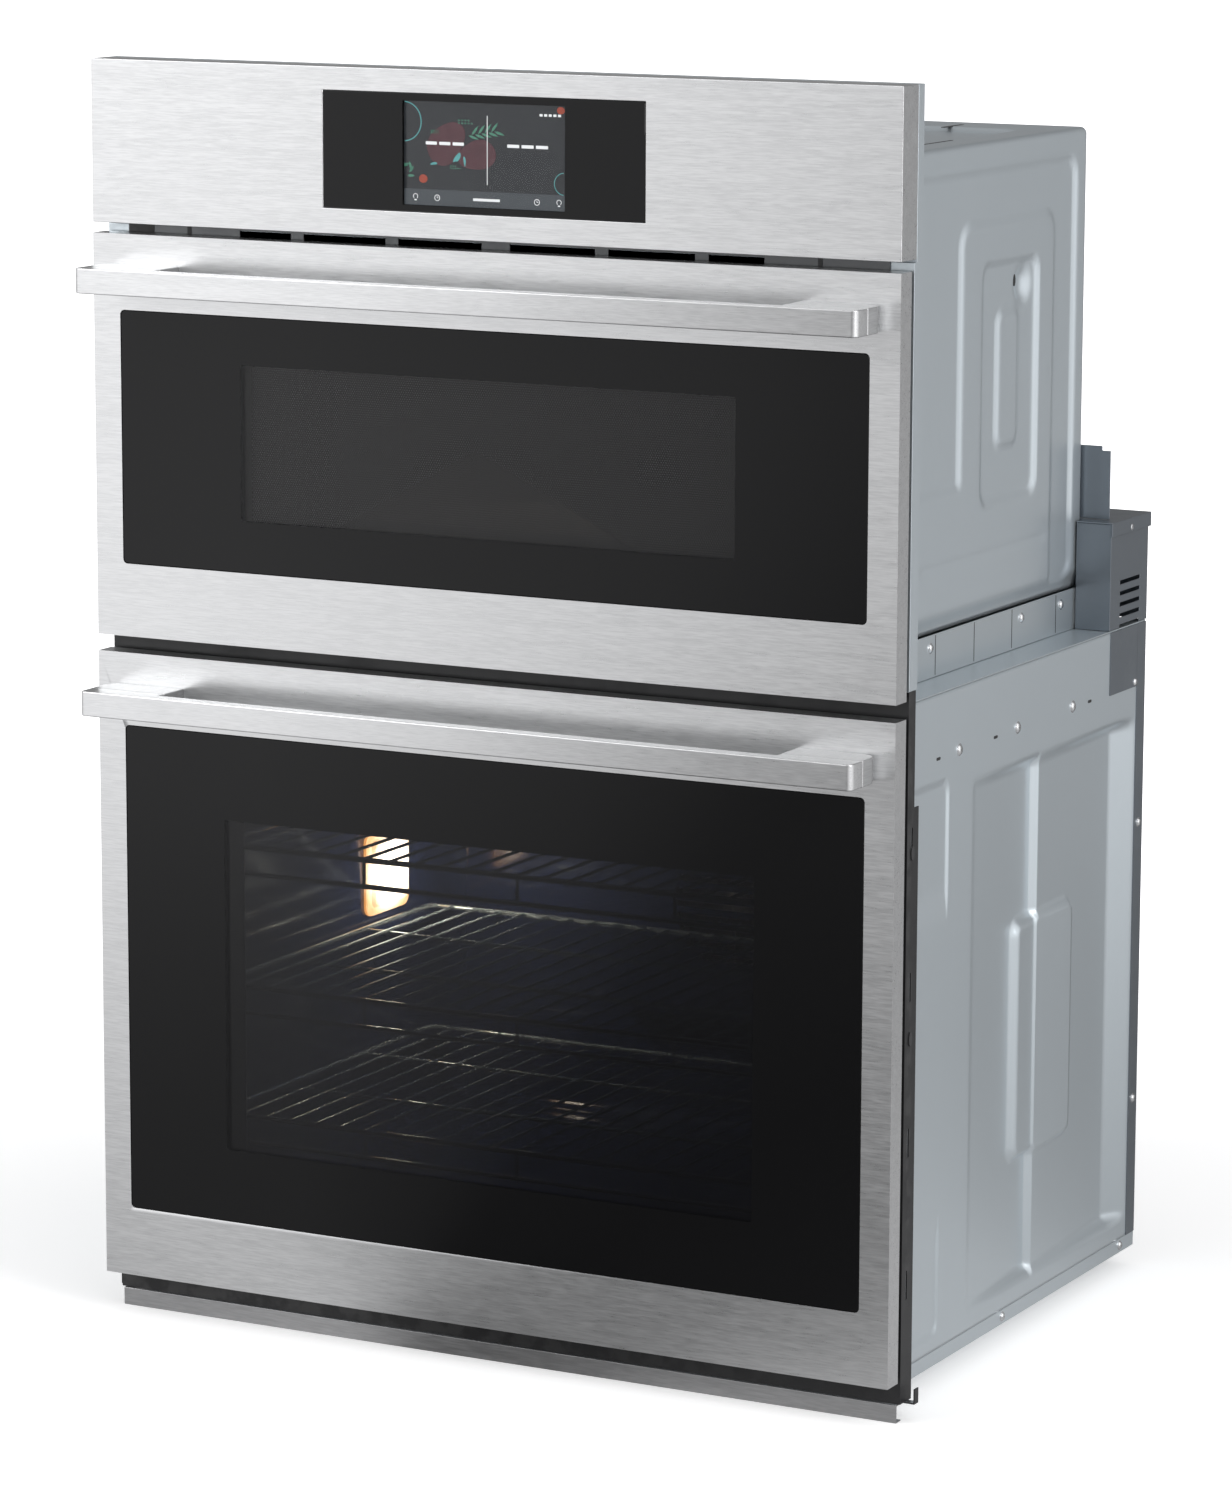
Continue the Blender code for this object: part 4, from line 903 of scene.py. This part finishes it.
for u, wide in ((0.26, 0.038), (0.77, 0.040)):
    x, z = spot(u, 0.60)
    for i in range(3):
        start = x - wide / 2 + i * (wide / 3)
        marks.append(bar_shape(start, start + wide / 3 - 0.0022, z - 0.0013, z + 0.0013, mark_level))
x, z = spot(0.51, 0.075)
marks.append(bar_shape(x - 0.0125, x + 0.0125, z - 0.0011, z + 0.0011, mark_level))
x, z = spot(0.515, 0.22)
marks.append(bar_shape(x - 0.0003, x + 0.0003, z, z + 0.66 * tall_z, mark_level, 0.0001))
for u, lamp in ((0.07, True), (0.205, False), (0.82, False), (0.955, True)):
    x, z = spot(u, 0.077)
    if lamp:
        marks.append(ring_shape(x, z + 0.0006, 0.0023, 0.0018, mark_level, -50, 230))
        marks.append(bar_shape(x - 0.0011, x + 0.0011, z - 0.0028, z - 0.0018, mark_level, 0.0002))
    else:
        marks.append(ring_shape(x, z, 0.0026, 0.0021, mark_level))
        marks.append(bar_shape(x - 0.0002, x + 0.0002, z, z + 0.0015, mark_level, 0.0001))
        marks.append(bar_shape(x - 0.0002, x + 0.0013, z - 0.0002, z + 0.0002, mark_level, 0.0001))
for i in range(5):
    x, z = spot(0.845 + 0.028 * i, 0.905)
    marks.append(bar_shape(x - 0.0014, x + 0.0014, z - 0.0010, z + 0.0010, mark_level, 0.0003))
art["screen_marks"] = ("lit_white", marks)
for name, (look, shapes) in art.items():
    finished(name, merged(shapes), look, "chassis")


# ---------------------------------------------------------------- pressed cases
def grid_sheet(rows, columns, point):
    """A bmesh grid; point(i, j) gives each corner."""
    built = bmesh.new()
    corners = [[built.verts.new(point(i, j)) for j in range(columns)] for i in range(rows)]
    for i in range(rows - 1):
        for j in range(columns - 1):
            built.faces.new((corners[i][j], corners[i + 1][j], corners[i + 1][j + 1], corners[i][j + 1]))
    return built


def thickened(piece, thickness):
    """Gives a one-sided sheet its thickness, behind the face that shows."""
    change = piece.modifiers.new("sheet", "SOLIDIFY")
    change.thickness = thickness
    change.offset = -1.0


def lower_side_relief(d, z):
    """Inward depth of the lower side sheet at a depth behind the front and a height above the base."""
    top, bottom = 0.5095, 0.0455
    slope = np.interp(d, [0.199, 0.204, 0.335, 0.341, 0.514, 0.550], [0.0, 0.0012, 0.0080, 0.0024, 0.0100, 0.0])
    held = inside_box(d, z, 0.150, 0.590, bottom, top, 0.011, 0.022)
    pad = inside_box(d, z, 0.291, 0.421, 0.1555, 0.3695, 0.007, 0.014)
    fade = 1.0 - smoothstep(0.120, 0.150, z) * smoothstep(0.430, 0.395, z)
    edge = 0.1405 + 0.009 * smoothstep(0.15, 0.40, z)
    front_panel = 0.0016 * fade * inside_box(d - edge, z, -0.3, 0.0, 0.0440, 0.5175, 0.003, 0.012)
    return np.maximum(slope * held - pad * 0.0062, 0.0) + front_panel


def side_sheet(sign):
    side = "right" if sign > 0 else "left"
    node = f"lower_side_{side}"
    low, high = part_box(node)
    outer = LOWER_SIDE[1].x
    rows = 190
    columns = 176
    ds = np.sort(np.concatenate([np.linspace(low.y - FACE, high.y - FACE, rows - 20), np.linspace(0.1365, 0.1510, 12),
                                 np.linspace(0.3330, 0.3430, 8)]))
    zs = np.linspace(low.z, high.z, columns)
    depth = lower_side_relief(*np.meshgrid(ds, zs, indexing="ij"))
    built = grid_sheet(rows, columns, lambda i, j: (sign * (outer - depth[i, j]), FACE + ds[i], zs[j]))
    piece = finished(f"{node}_sheet", built, "case", "chassis", smooth=60.0)
    if piece.data.polygons[0].normal.x * sign <= 0:
        piece.data.flip_normals()
    thickened(piece, SHEET)
    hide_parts(node)


side_sheet(1)
side_sheet(-1)


def wrapper_side_relief(d, z):
    """Inward depth of the upper case's side at a depth behind the front and a height in the frame."""
    border = 0.0024 * inside_box(d, z, 0.0, 0.479, 0.640, 1.0105, 0.005, 0.020)
    panel = inside_box(d, z, 0.236, 0.436, 0.70, 0.9675, 0.006, 0.022)
    foot = inside_box(d, z, -0.2, 0.436, 0.60, 0.7500, 0.006, 0.022)
    sunk = 0.0030 * inside_box(d, z, 0.281, 0.400, 0.7235, 0.9315, 0.006, 0.016)
    inner = 0.0020 * inside_box(d, z, 0.315, 0.362, 0.7705, 0.8885, 0.004, 0.012)
    dimple = 0.0050 * (1.0 - smoothstep(0.004, 0.020, np.hypot(d - 0.370, z - 0.9065)))
    crease = 0.0010 * ridge(z, 0.6845, 0.0022) * smoothstep(0.15, 0.17, d) * smoothstep(0.43, 0.41, d)
    cove = 0.0045 * smoothstep(0.6480, 0.6320, z)
    return np.maximum(border - 0.0021 * np.maximum(panel, foot) + sunk - inner + dimple + crease, 0.0) + cove


def wrapper_top_relief(d, x):
    panel = 0.0040 * inside_box(d, x, 0.020, 0.440, -0.290, 0.290, 0.006, 0.020)
    raised = 0.0030 * inside_box(d, x, 0.120, 0.390, -0.225, 0.225, 0.006, 0.020)
    return panel - raised


def wrapper_shell():
    """The upper case: sides and top in one bend, rounded into the back."""
    low, high = WRAPPER
    half, bend, rear_bend = high.x, 0.006, 0.008
    top, bottom = high.z, low.z
    path = [(half, z, 1, 0) for z in np.linspace(bottom, top - bend, 112)]
    path += [(x, z, math.cos(a), math.sin(a)) for a in np.radians(np.linspace(9, 81, 9))
             for x, z in [(half - bend + bend * math.cos(a), top - bend + bend * math.sin(a))]]
    path += [(x, top, 0, 1) for x in np.linspace(half - bend, bend - half, 150)]
    path += [(-x, z, -nx, nz) for x, z, nx, nz in reversed(path[:112 + 9])]
    ds = np.concatenate([np.linspace(low.y - FACE, high.y - FACE - rear_bend, 132),
                         high.y - FACE - rear_bend + rear_bend * np.sin(np.radians(np.linspace(9, 90, 10)))])
    xs, zs, nx, nz = (np.array(v, float) for v in zip(*path))
    dd = ds[:, None] + 0 * xs[None, :]
    side = wrapper_side_relief(dd, zs[None, :] + 0 * dd) * np.abs(nx)[None, :]
    over = wrapper_top_relief(dd, xs[None, :] + 0 * dd) * (np.abs(nz) > 0.999)[None, :]
    past = np.clip(dd - (high.y - FACE - rear_bend), 0, rear_bend)
    inset = rear_bend - np.sqrt(np.maximum(rear_bend ** 2 - past ** 2, 0))
    depth = side + over + inset
    built = grid_sheet(len(ds), len(xs), lambda i, j: (
        xs[j] - nx[j] * depth[i, j], FACE + ds[i], zs[j] - nz[j] * depth[i, j]))
    built.verts.ensure_lookup_table()
    built.faces.new(built.verts[(len(ds) - 1) * len(xs):])
    piece = finished("upper_wrapper_shell", built, "case", "chassis", smooth=60.0)
    if piece.data.polygons[0].normal.x < 0:
        piece.data.flip_normals()
    thickened(piece, SHEET)
    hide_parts("upper_wrapper")


wrapper_shell()


# ---------------------------------------------------------------- oven interiors
def cavity_shell(node, look, ledge_tops=(), corner=0.016, ledge=0.010):
    """A drawn liner: rounded walls, pressed rack ledges, and a rounded join to its back."""
    low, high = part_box(node)
    half = high.x - LINER
    floor, roof = low.z + LINER, high.z - LINER
    back = high.y - LINER
    right = []
    for top in sorted(ledge_tops):
        for drop, share in ((0.016, 0.0), (0.011, 0.85), (0.008, 1.0), (0.0015, 1.0), (0.0, 0.8), (-0.002, 0.0)):
            right.append((half - ledge * share, top - drop))
    profile = [
        *arc(half - corner, floor + corner, corner, -90, 0, 7),
        *right,
        *arc(half - corner, roof - corner, corner, 0, 90, 7),
    ]
    profile += [(-x, z) for x, z in reversed(profile)]
    middle = (floor + roof) / 2
    stations = [(low.y, 0.0), (low.y + 0.012, 0.0), (back - 0.034, 0.0), (back - corner, 0.0)]
    stations += [(back - corner + corner * math.sin(a), corner * (1 - math.cos(a)))
                 for a in (math.radians(15 * k) for k in range(1, 7))]
    loops = []
    for number, (y, inset) in enumerate(stations):
        loop = []
        for x, z in profile:
            on_wall = abs(abs(x) - half) < ledge + 1e-6 and floor + corner < z < roof - corner
            wall = half if on_wall and number != 2 else abs(x)
            sx = math.copysign(min(wall, half) - inset * (abs(x) > corner), x)
            sz = z + inset * (1 if z < middle else -1) * (abs(z - middle) > (roof - floor) / 2 - corner - 1e-6)
            loop.append((sx, y, sz))
        loops.append(loop)
    built = bmesh.new()
    bridge(built, loops, True, False, True)
    piece = finished(f"{node}_liner", built, look, "chassis", smooth=45.0)
    centre = Vector((0, (low.y + back) / 2, middle))
    face = piece.data.polygons[0]
    if face.normal.dot(centre - face.center) < 0:
        piece.data.flip_normals()
    thickened(piece, LINER)
    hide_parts(node)
    return piece


ledges = [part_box(f"rack_{level_name}")[1].z - 0.004 - HAIR for level_name in ("bottom", "middle", "top")]
cavity_shell("lower_cavity", "enamel", ledges)
cavity_shell("upper_cavity", "grey_enamel")


def wire_rack(level_name):
    """Plated wires: a perimeter, cross wires on two bearers, and a dropped front rail."""
    node = f"rack_{level_name}"
    low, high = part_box(node)
    thick, thin = 0.0025, 0.0016
    x0, x1 = low.x + thick, high.x - thick
    y0, y1 = low.y + thick, high.y - thick
    top = high.z - thick
    corner = 0.012
    ring = rounded_rectangle(x0, x1, y0, y1, corner, 5)
    path = [Vector((x, y, top)) for x, y in ring]
    built = bmesh.new()
    loops = []
    for i, point in enumerate(path):
        ahead = (path[(i + 1) % len(path)] - path[i - 1]).normalized()
        side = Vector((ahead.y, -ahead.x, 0))
        angles = [2 * math.pi * k / 10 for k in range(10)]
        loops.append([point + thick * (math.cos(a) * side + math.sin(a) * Vector((0, 0, 1))) for a in angles])
    rings = bridge(built, loops, True)
    for i in range(10):
        j = (i + 1) % 10
        built.faces.new((rings[-1][i], rings[-1][j], rings[0][j], rings[0][i]))
    parts = [built]
    count = 24
    for i in range(1, count):
        x = x0 + (x1 - x0) * i / count
        parts.append(rod((x, y0, top + thick - thin), (x, y1, top + thick - thin), thin, 8))
    for share in (0.30, 0.68):
        y = y0 + (y1 - y0) * share
        parts.append(rod((x0, y, top - thin), (x1, y, top - thin), 0.0022, 8))
    drop = low.z + thin + 0.0006
    inner = x1 - 0.016
    dropped = [(-inner, y0, top), (-inner, y0 + 0.0002, drop), (inner, y0 + 0.0002, drop), (inner, y0, top)]
    parts.append(bent_wire(dropped, thick * 0.9, 0.008))
    for share in (0.25, 0.5, 0.75):
        x = x0 + (x1 - x0) * round(share * count) / count
        parts.append(rod((x, y0, drop), (x, y0, top), thin, 8))
    piece = finished(f"{node}_wires", merged(parts), "wire", body_of(node), smooth=50.0)
    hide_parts(node)


for level_name in ("bottom", "middle", "top"):
    wire_rack(level_name)


def lathe(name, look, body, centre, profile, steps=72, smooth=35.0):
    built = bmesh.new()
    loops = []
    for radius, rise in profile:
        angles = [2 * math.pi * i / steps for i in range(steps)]
        loops.append([(centre.x + radius * math.cos(a), centre.y + radius * math.sin(a), centre.z + rise)
                      for a in angles])
    bridge(built, loops, True, True, True)
    return finished(name, built, look, body, smooth)


low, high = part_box("turntable_tray")
tray_centre = Vector(((low.x + high.x) / 2, (low.y + high.y) / 2, high.z - 0.012))
tray_radius = (high.x - low.x) / 2
tray = lathe("turntable_glass_tray", "tray", "turntable", tray_centre, [
    (0.010, 0.0008), (tray_radius * 0.84, 0.0008), (tray_radius * 0.90, 0.0018), (tray_radius * 0.97, 0.0070),
    (tray_radius - 0.0006, 0.0098), (tray_radius, 0.0110), (tray_radius - 0.0012, 0.0120),
    (tray_radius * 0.955, 0.0092), (tray_radius * 0.885, 0.0052), (tray_radius * 0.83, 0.0040), (0.010, 0.0040)])
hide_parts("turntable_tray")
lathe("turntable_drive", "plastic", "turntable", Vector((tray_centre.x, tray_centre.y, low.z)), [
    (0.004, 0.0), (0.004, high.z - low.z - 0.025), (0.013, high.z - low.z - 0.024), (0.0138, high.z - low.z - 0.022),
    (0.0138, high.z - low.z - 0.0125), (0.006, high.z - low.z - 0.0118)], 24)

low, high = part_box("oven_lamp")
lens = bmesh.new()
lens_loops = []
for inset, rise in ((0.0, 0.0), (0.0, 0.0025), (0.003, 0.004), (0.007, 0.004), (0.009, 0.0075), (0.016, 0.0088),
                    (0.028, 0.009)):
    outline = rounded_rectangle(low.y + inset, high.y - inset, low.z + inset, high.z - inset,
                                max(0.002, 0.010 - inset * 0.3))
    lens_loops.append([(low.x + rise, y, z) for y, z in outline])
bridge(lens, lens_loops, True, True, True)
lamp = finished("oven_lamp_lens", lens, "lens", "chassis")
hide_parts("oven_lamp")


# ---------------------------------------------------------------- fasteners and case details
side_x = LOWER_SIDE[1].x
upper_x = WRAPPER[1].x


def screw_row(name, sign, x, places, radius=0.0042):
    """Screws on one side of the case; each place is a depth behind the front and a height above the base."""
    side = "right" if sign > 0 else "left"
    points = [(sign * (x - SEATED), FACE + d, BASE_LEVEL + z) for d, z in places]
    screws(f"{name}_{side}", points, (sign, 0, 0), "chassis", radius)


for sign, side in ((1, "right"), (-1, "left")):
    base = BASE_LEVEL
    screw_row("side_screws", sign, side_x, [(d, 0.503) for d in (0.169, 0.289, 0.4075)])
    screw_row("base_screws", sign, side_x, [(d, -0.0105) for d in (0.276, 0.538)], 0.0034)
    screw_row("rail_screws", sign, upper_x, [(d, 0.583) for d in (0.184, 0.372, 0.458)], 0.0036)
    screw_row("duct_screws", sign, side_x, [(0.531, 0.645), (0.547, 0.504)], 0.0034)
    strip = side_x + 0.0006
    flange = rounded_rectangle(FACE + 0.551, DUCT[1].y - 0.0022, BASE[1].z + HAIR, DECK[0].z - HAIR, 0.0006, 2)
    lift = lambda y, z, x, sign=sign: (sign * x, y, z)
    finished(f"back_flange_{side}", prism(flange, side_x - 0.0001, strip, lift), "dark", "chassis")
    tongue = rounded_rectangle(FACE + 0.489, FACE + 0.5508, base + 0.500, DECK[0].z - HAIR, 0.0006, 2)
    finished(f"back_tongue_{side}", prism(tongue, side_x - 0.0001, strip, lift), "dark", "chassis")
    screw_row("flange_screws", sign, strip, [(0.5605, z) for z in (0.375, 0.1215)], 0.0034)
    # Black plates for the punched slots and holes are painted shade of their openings; the thin black lines on the rail
    # are its seams.
    slots = []
    for d, z in ((0.127, 0.502), (0.243, 0.502), (0.445, 0.502)):
        outline = rounded_rectangle(FACE + d - 0.004, FACE + d + 0.004, base + z - 0.0013, base + z + 0.0013, 0.0012, 3)
        slots.append(prism(outline, side_x - 0.0001, side_x + 0.00012, lift))
    slots.append(prism(ellipse(FACE + 0.381, base + 0.147, 0.0018, 0.0026, 16), side_x - 0.0032, side_x - 0.0026, lift))
    for seam_d in (0.194, 0.273, 0.352, 0.447):
        outline = rounded_rectangle(FACE + seam_d - 0.0005, FACE + seam_d + 0.0005, DECK[1].z + 0.002,
                                    RAIL[1].z - 0.001, 0.0003, 2)
        slots.append(prism(outline, upper_x - 0.0001, upper_x + 0.00012, lift))
    hole_x = upper_x - float(wrapper_side_relief(np.array(0.3530), np.array(0.9110)))
    slots.append(prism(ellipse(FACE + 0.3530, 0.9110, 0.0024, 0.0052, 16), hole_x - 0.001, hole_x + 0.0004, lift))
    finished(f"case_slot_shade_{side}", merged(slots), "black", "chassis")

# Seams and slots pressed through the top of the upper case, drawn as black strips: painted shade inside them.
top_opening_shade = []
for sign in (1, -1):
    for x, d0, d1, wide in ((0.3010, 0.035, 0.205, 0.0009), (0.2930, 0.212, 0.282, 0.0012),
                            (0.2200, 0.425, 0.465, 0.0020), (0.1300, 0.425, 0.465, 0.0020)):
        x0, x1 = sign * x - wide, sign * x + wide
        outline = [(x0, FACE + d0), (x1, FACE + d0), (x1, FACE + d1), (x0, FACE + d1)]
        level = WRAPPER[1].z - float(wrapper_top_relief(np.array((d0 + d1) / 2), np.array(x)))
        top_opening_shade.append(prism(outline, level - 0.0004, level + 0.0002, lambda x, y, z: (x, y, z)))
finished("case_top_slot_shade", merged(top_opening_shade), "black", "chassis")

# Black patches beside the vent slots, where the sheet ends leave gaps: painted shade in the gaps.
strip_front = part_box("vent_grille")[0].y
gap_low, gap_high = UPPER_SKIN[1].z - 0.004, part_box("control_fascia")[0].z - 0.0008
gaps = []
for x0, x1 in ((-0.3560, -0.3310), (-0.2980, -0.2940), (0.2940, 0.2980)):
    outline = [(x0, gap_low), (x1, gap_low), (x1, gap_high), (x0, gap_high)]
    gaps.append(flat_shape(outline, strip_front - 0.0003, 0.00025))
finished("vent_gap_shade", merged(gaps), "black", "chassis")

# Bumpers along the front of the lower frame, beside the door.
frame_front = FRAME_LOWER[0].y
clips = []
for sign in (-1, 1):
    wall = sign * (FRAME_LOWER[1].x + 0.0001)
    for z in (0.4765, 0.3224):
        ring_points = ellipse(frame_front + 0.0095, z, 0.0030, 0.0060, 18)
        clips.append(prism(ring_points, wall, wall + sign * 0.0009, lambda y, z, x: (x, y, z)))
finished("frame_bumpers", merged(clips), "plastic", "chassis")


# ---------------------------------------------------------------- studio
def area_light(name, place, target, width, height, power):
    data = bpy.data.lights.new(name, "AREA")
    data.shape = "RECTANGLE"
    data.size, data.size_y = width, height
    data.energy = power
    lamp_object = bpy.data.objects.new(name, data)
    lamp_object.matrix_world = facing(Vector(place), Vector(place) - Vector(target))
    bpy.context.scene.collection.objects.link(lamp_object)


def point_light(name, place, power, colour, radius=0.02):
    data = bpy.data.lights.new(name, "POINT")
    data.energy = power
    data.color = colour
    data.shadow_soft_size = radius
    lamp_object = bpy.data.objects.new(name, data)
    lamp_object.location = place
    lamp_object.visible_glossy = False
    bpy.context.scene.collection.objects.link(lamp_object)


area_light("key", (-3.6, -3.6, 3.2), (0, 0, 0.6), 2.6, 3.0, 90.0)
area_light("side", (4.2, -1.7, 2.4), (0.3, 0, 0.5), 1.6, 3.0, 80.0)
area_light("overhead", (0.3, 0.4, 4.2), (0, 0, 0.5), 3.0, 3.0, 15.0)
lamp_low, lamp_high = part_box("oven_lamp")
point_light("oven_lamp_glow", (lamp_high.x + 0.06, (lamp_low.y + lamp_high.y) / 2, (lamp_low.z + lamp_high.z) / 2), 1.5,
            (1.0, 0.86, 0.70), 0.03)
upper_high = UPPER_HOLLOW[1]
point_light("upper_oven_glow", (0.0, upper_high.y - 0.10, upper_high.z - 0.04), 1.1, (1.0, 0.86, 0.68), 0.03)
STUDIO_TONES = (
    (-180, 0.60), (-150, 1.0), (-131, 1.25), (-122, 1.28), (-114, 0.86), (-109, 0.42), (-98, 0.32), (-74, 0.42),
    (-50, 0.95), (0, 1.1), (30, 1.0), (46, 0.64), (62, 0.30), (95, 0.12), (135, 0.30), (180, 0.60),
)


def around_studio(tree, vector):
    """The studio's brightness by heading: softboxes at the front corners, dark drapes behind and between."""
    parts = add(tree, "SeparateXYZ")
    wire(tree, vector, parts.inputs[0])
    heading = maths(tree, "ARCTAN2", parts.outputs[1], parts.outputs[0])
    share = maths(tree, "ADD", maths(tree, "DIVIDE", heading, 2 * math.pi), 0.5)
    strip = add(tree, "ValToRGB")
    stops = strip.color_ramp.elements
    for number, (degrees, tone) in enumerate(STUDIO_TONES):
        place = (degrees + 180) / 360
        if number in (0, len(STUDIO_TONES) - 1):
            stop = stops[0 if number == 0 else -1]
            stop.position = place
        else:
            stop = stops.new(place)
        stop.color = (tone, tone, tone * 1.01, 1.0)
    wire(tree, share, strip.inputs[0])
    return strip.outputs[0]


floor_mesh = bmesh.new()
bmesh.ops.create_grid(floor_mesh, x_segments=2, y_segments=2, size=40.0)
plain = bpy.data.meshes.new("studio_floor")
floor_mesh.to_mesh(plain)
floor_mesh.free()
floor = bpy.data.objects.new("studio_floor", plain)
floor.location.z = CAD_BOX[0][2]
material, tree, shader, where = finish("studio_floor_paint")
tone = blended(tree, noise(tree, where, 0.8, 2.0), (0.90, 0.90, 0.90), (0.92, 0.92, 0.92))
wire(tree, tone, shader.inputs["Base Color"])
shader.inputs["Roughness"].default_value = 0.9
away = add(tree, "VectorMath", operation="LENGTH")
wire(tree, where, away.inputs[0])
near_tone = maths(tree, "ADD", maths(tree, "MULTIPLY", ramp(tree, away.outputs["Value"], 0.4, 4.0), 0.55), 0.45)
mirrored = add(tree, "Emission")
wire(tree, around_studio(tree, where), mirrored.inputs["Color"])
wire(tree, near_tone, mirrored.inputs["Strength"])
lifted = add(tree, "Emission")
wire(tree, maths(tree, "ADD", maths(tree, "MULTIPLY", ramp(tree, away.outputs["Value"], 0.7, 2.2), 0.75), 0.30),
     lifted.inputs["Strength"])
lit_floor = add(tree, "AddShader")
wire(tree, shader.outputs[0], lit_floor.inputs[0])
wire(tree, lifted.outputs[0], lit_floor.inputs[1])
ray = add(tree, "LightPath")
seen_floor = add(tree, "MixShader")
wire(tree, ray.outputs["Is Camera Ray"], seen_floor.inputs[0])
wire(tree, shader.outputs[0], seen_floor.inputs[1])
wire(tree, lit_floor.outputs[0], seen_floor.inputs[2])
choose = add(tree, "MixShader")
wire(tree, ray.outputs["Is Glossy Ray"], choose.inputs[0])
wire(tree, seen_floor.outputs[0], choose.inputs[1])
wire(tree, mirrored.outputs[0], choose.inputs[2])
wire(tree, choose.outputs[0], tree.nodes["Material Output"].inputs["Surface"])
material.cycles.emission_sampling = "NONE"
plain.materials.append(material)
bpy.context.scene.collection.objects.link(floor)

world = bpy.data.worlds.new("studio")
bpy.context.scene.world = world
world.use_nodes = True
sky = world.node_tree
backdrop = sky.nodes["Background"]
direction = add(sky, "TexCoord").outputs["Generated"]
around = around_studio(sky, direction)
seen = add(sky, "LightPath").outputs["Is Camera Ray"]
wire(sky, blended(sky, seen, around, (1.0, 1.0, 1.0)), backdrop.inputs["Color"])
backdrop.inputs["Strength"].default_value = 1.0
bpy.context.scene.view_settings.view_transform = "Standard"

camera_data = bpy.data.cameras.new("view")
camera_data.lens = 133.2
camera_data.sensor_width = 36.0
camera_data.clip_end = 200.0
camera = bpy.data.objects.new("view", camera_data)
yaw, pitch, roll = 0.4832, 0.1795, 0.0034
turn = Matrix.Rotation(yaw, 4, "Z") @ Matrix.Rotation(math.pi / 2 - pitch, 4, "X") @ Matrix.Rotation(roll, 4, "Z")
camera.matrix_world = Matrix.Translation((2.2092, -4.2323, 1.3585)) @ turn
bpy.context.scene.collection.objects.link(camera)
bpy.context.scene.camera = camera

bpy.context.view_layer.update()
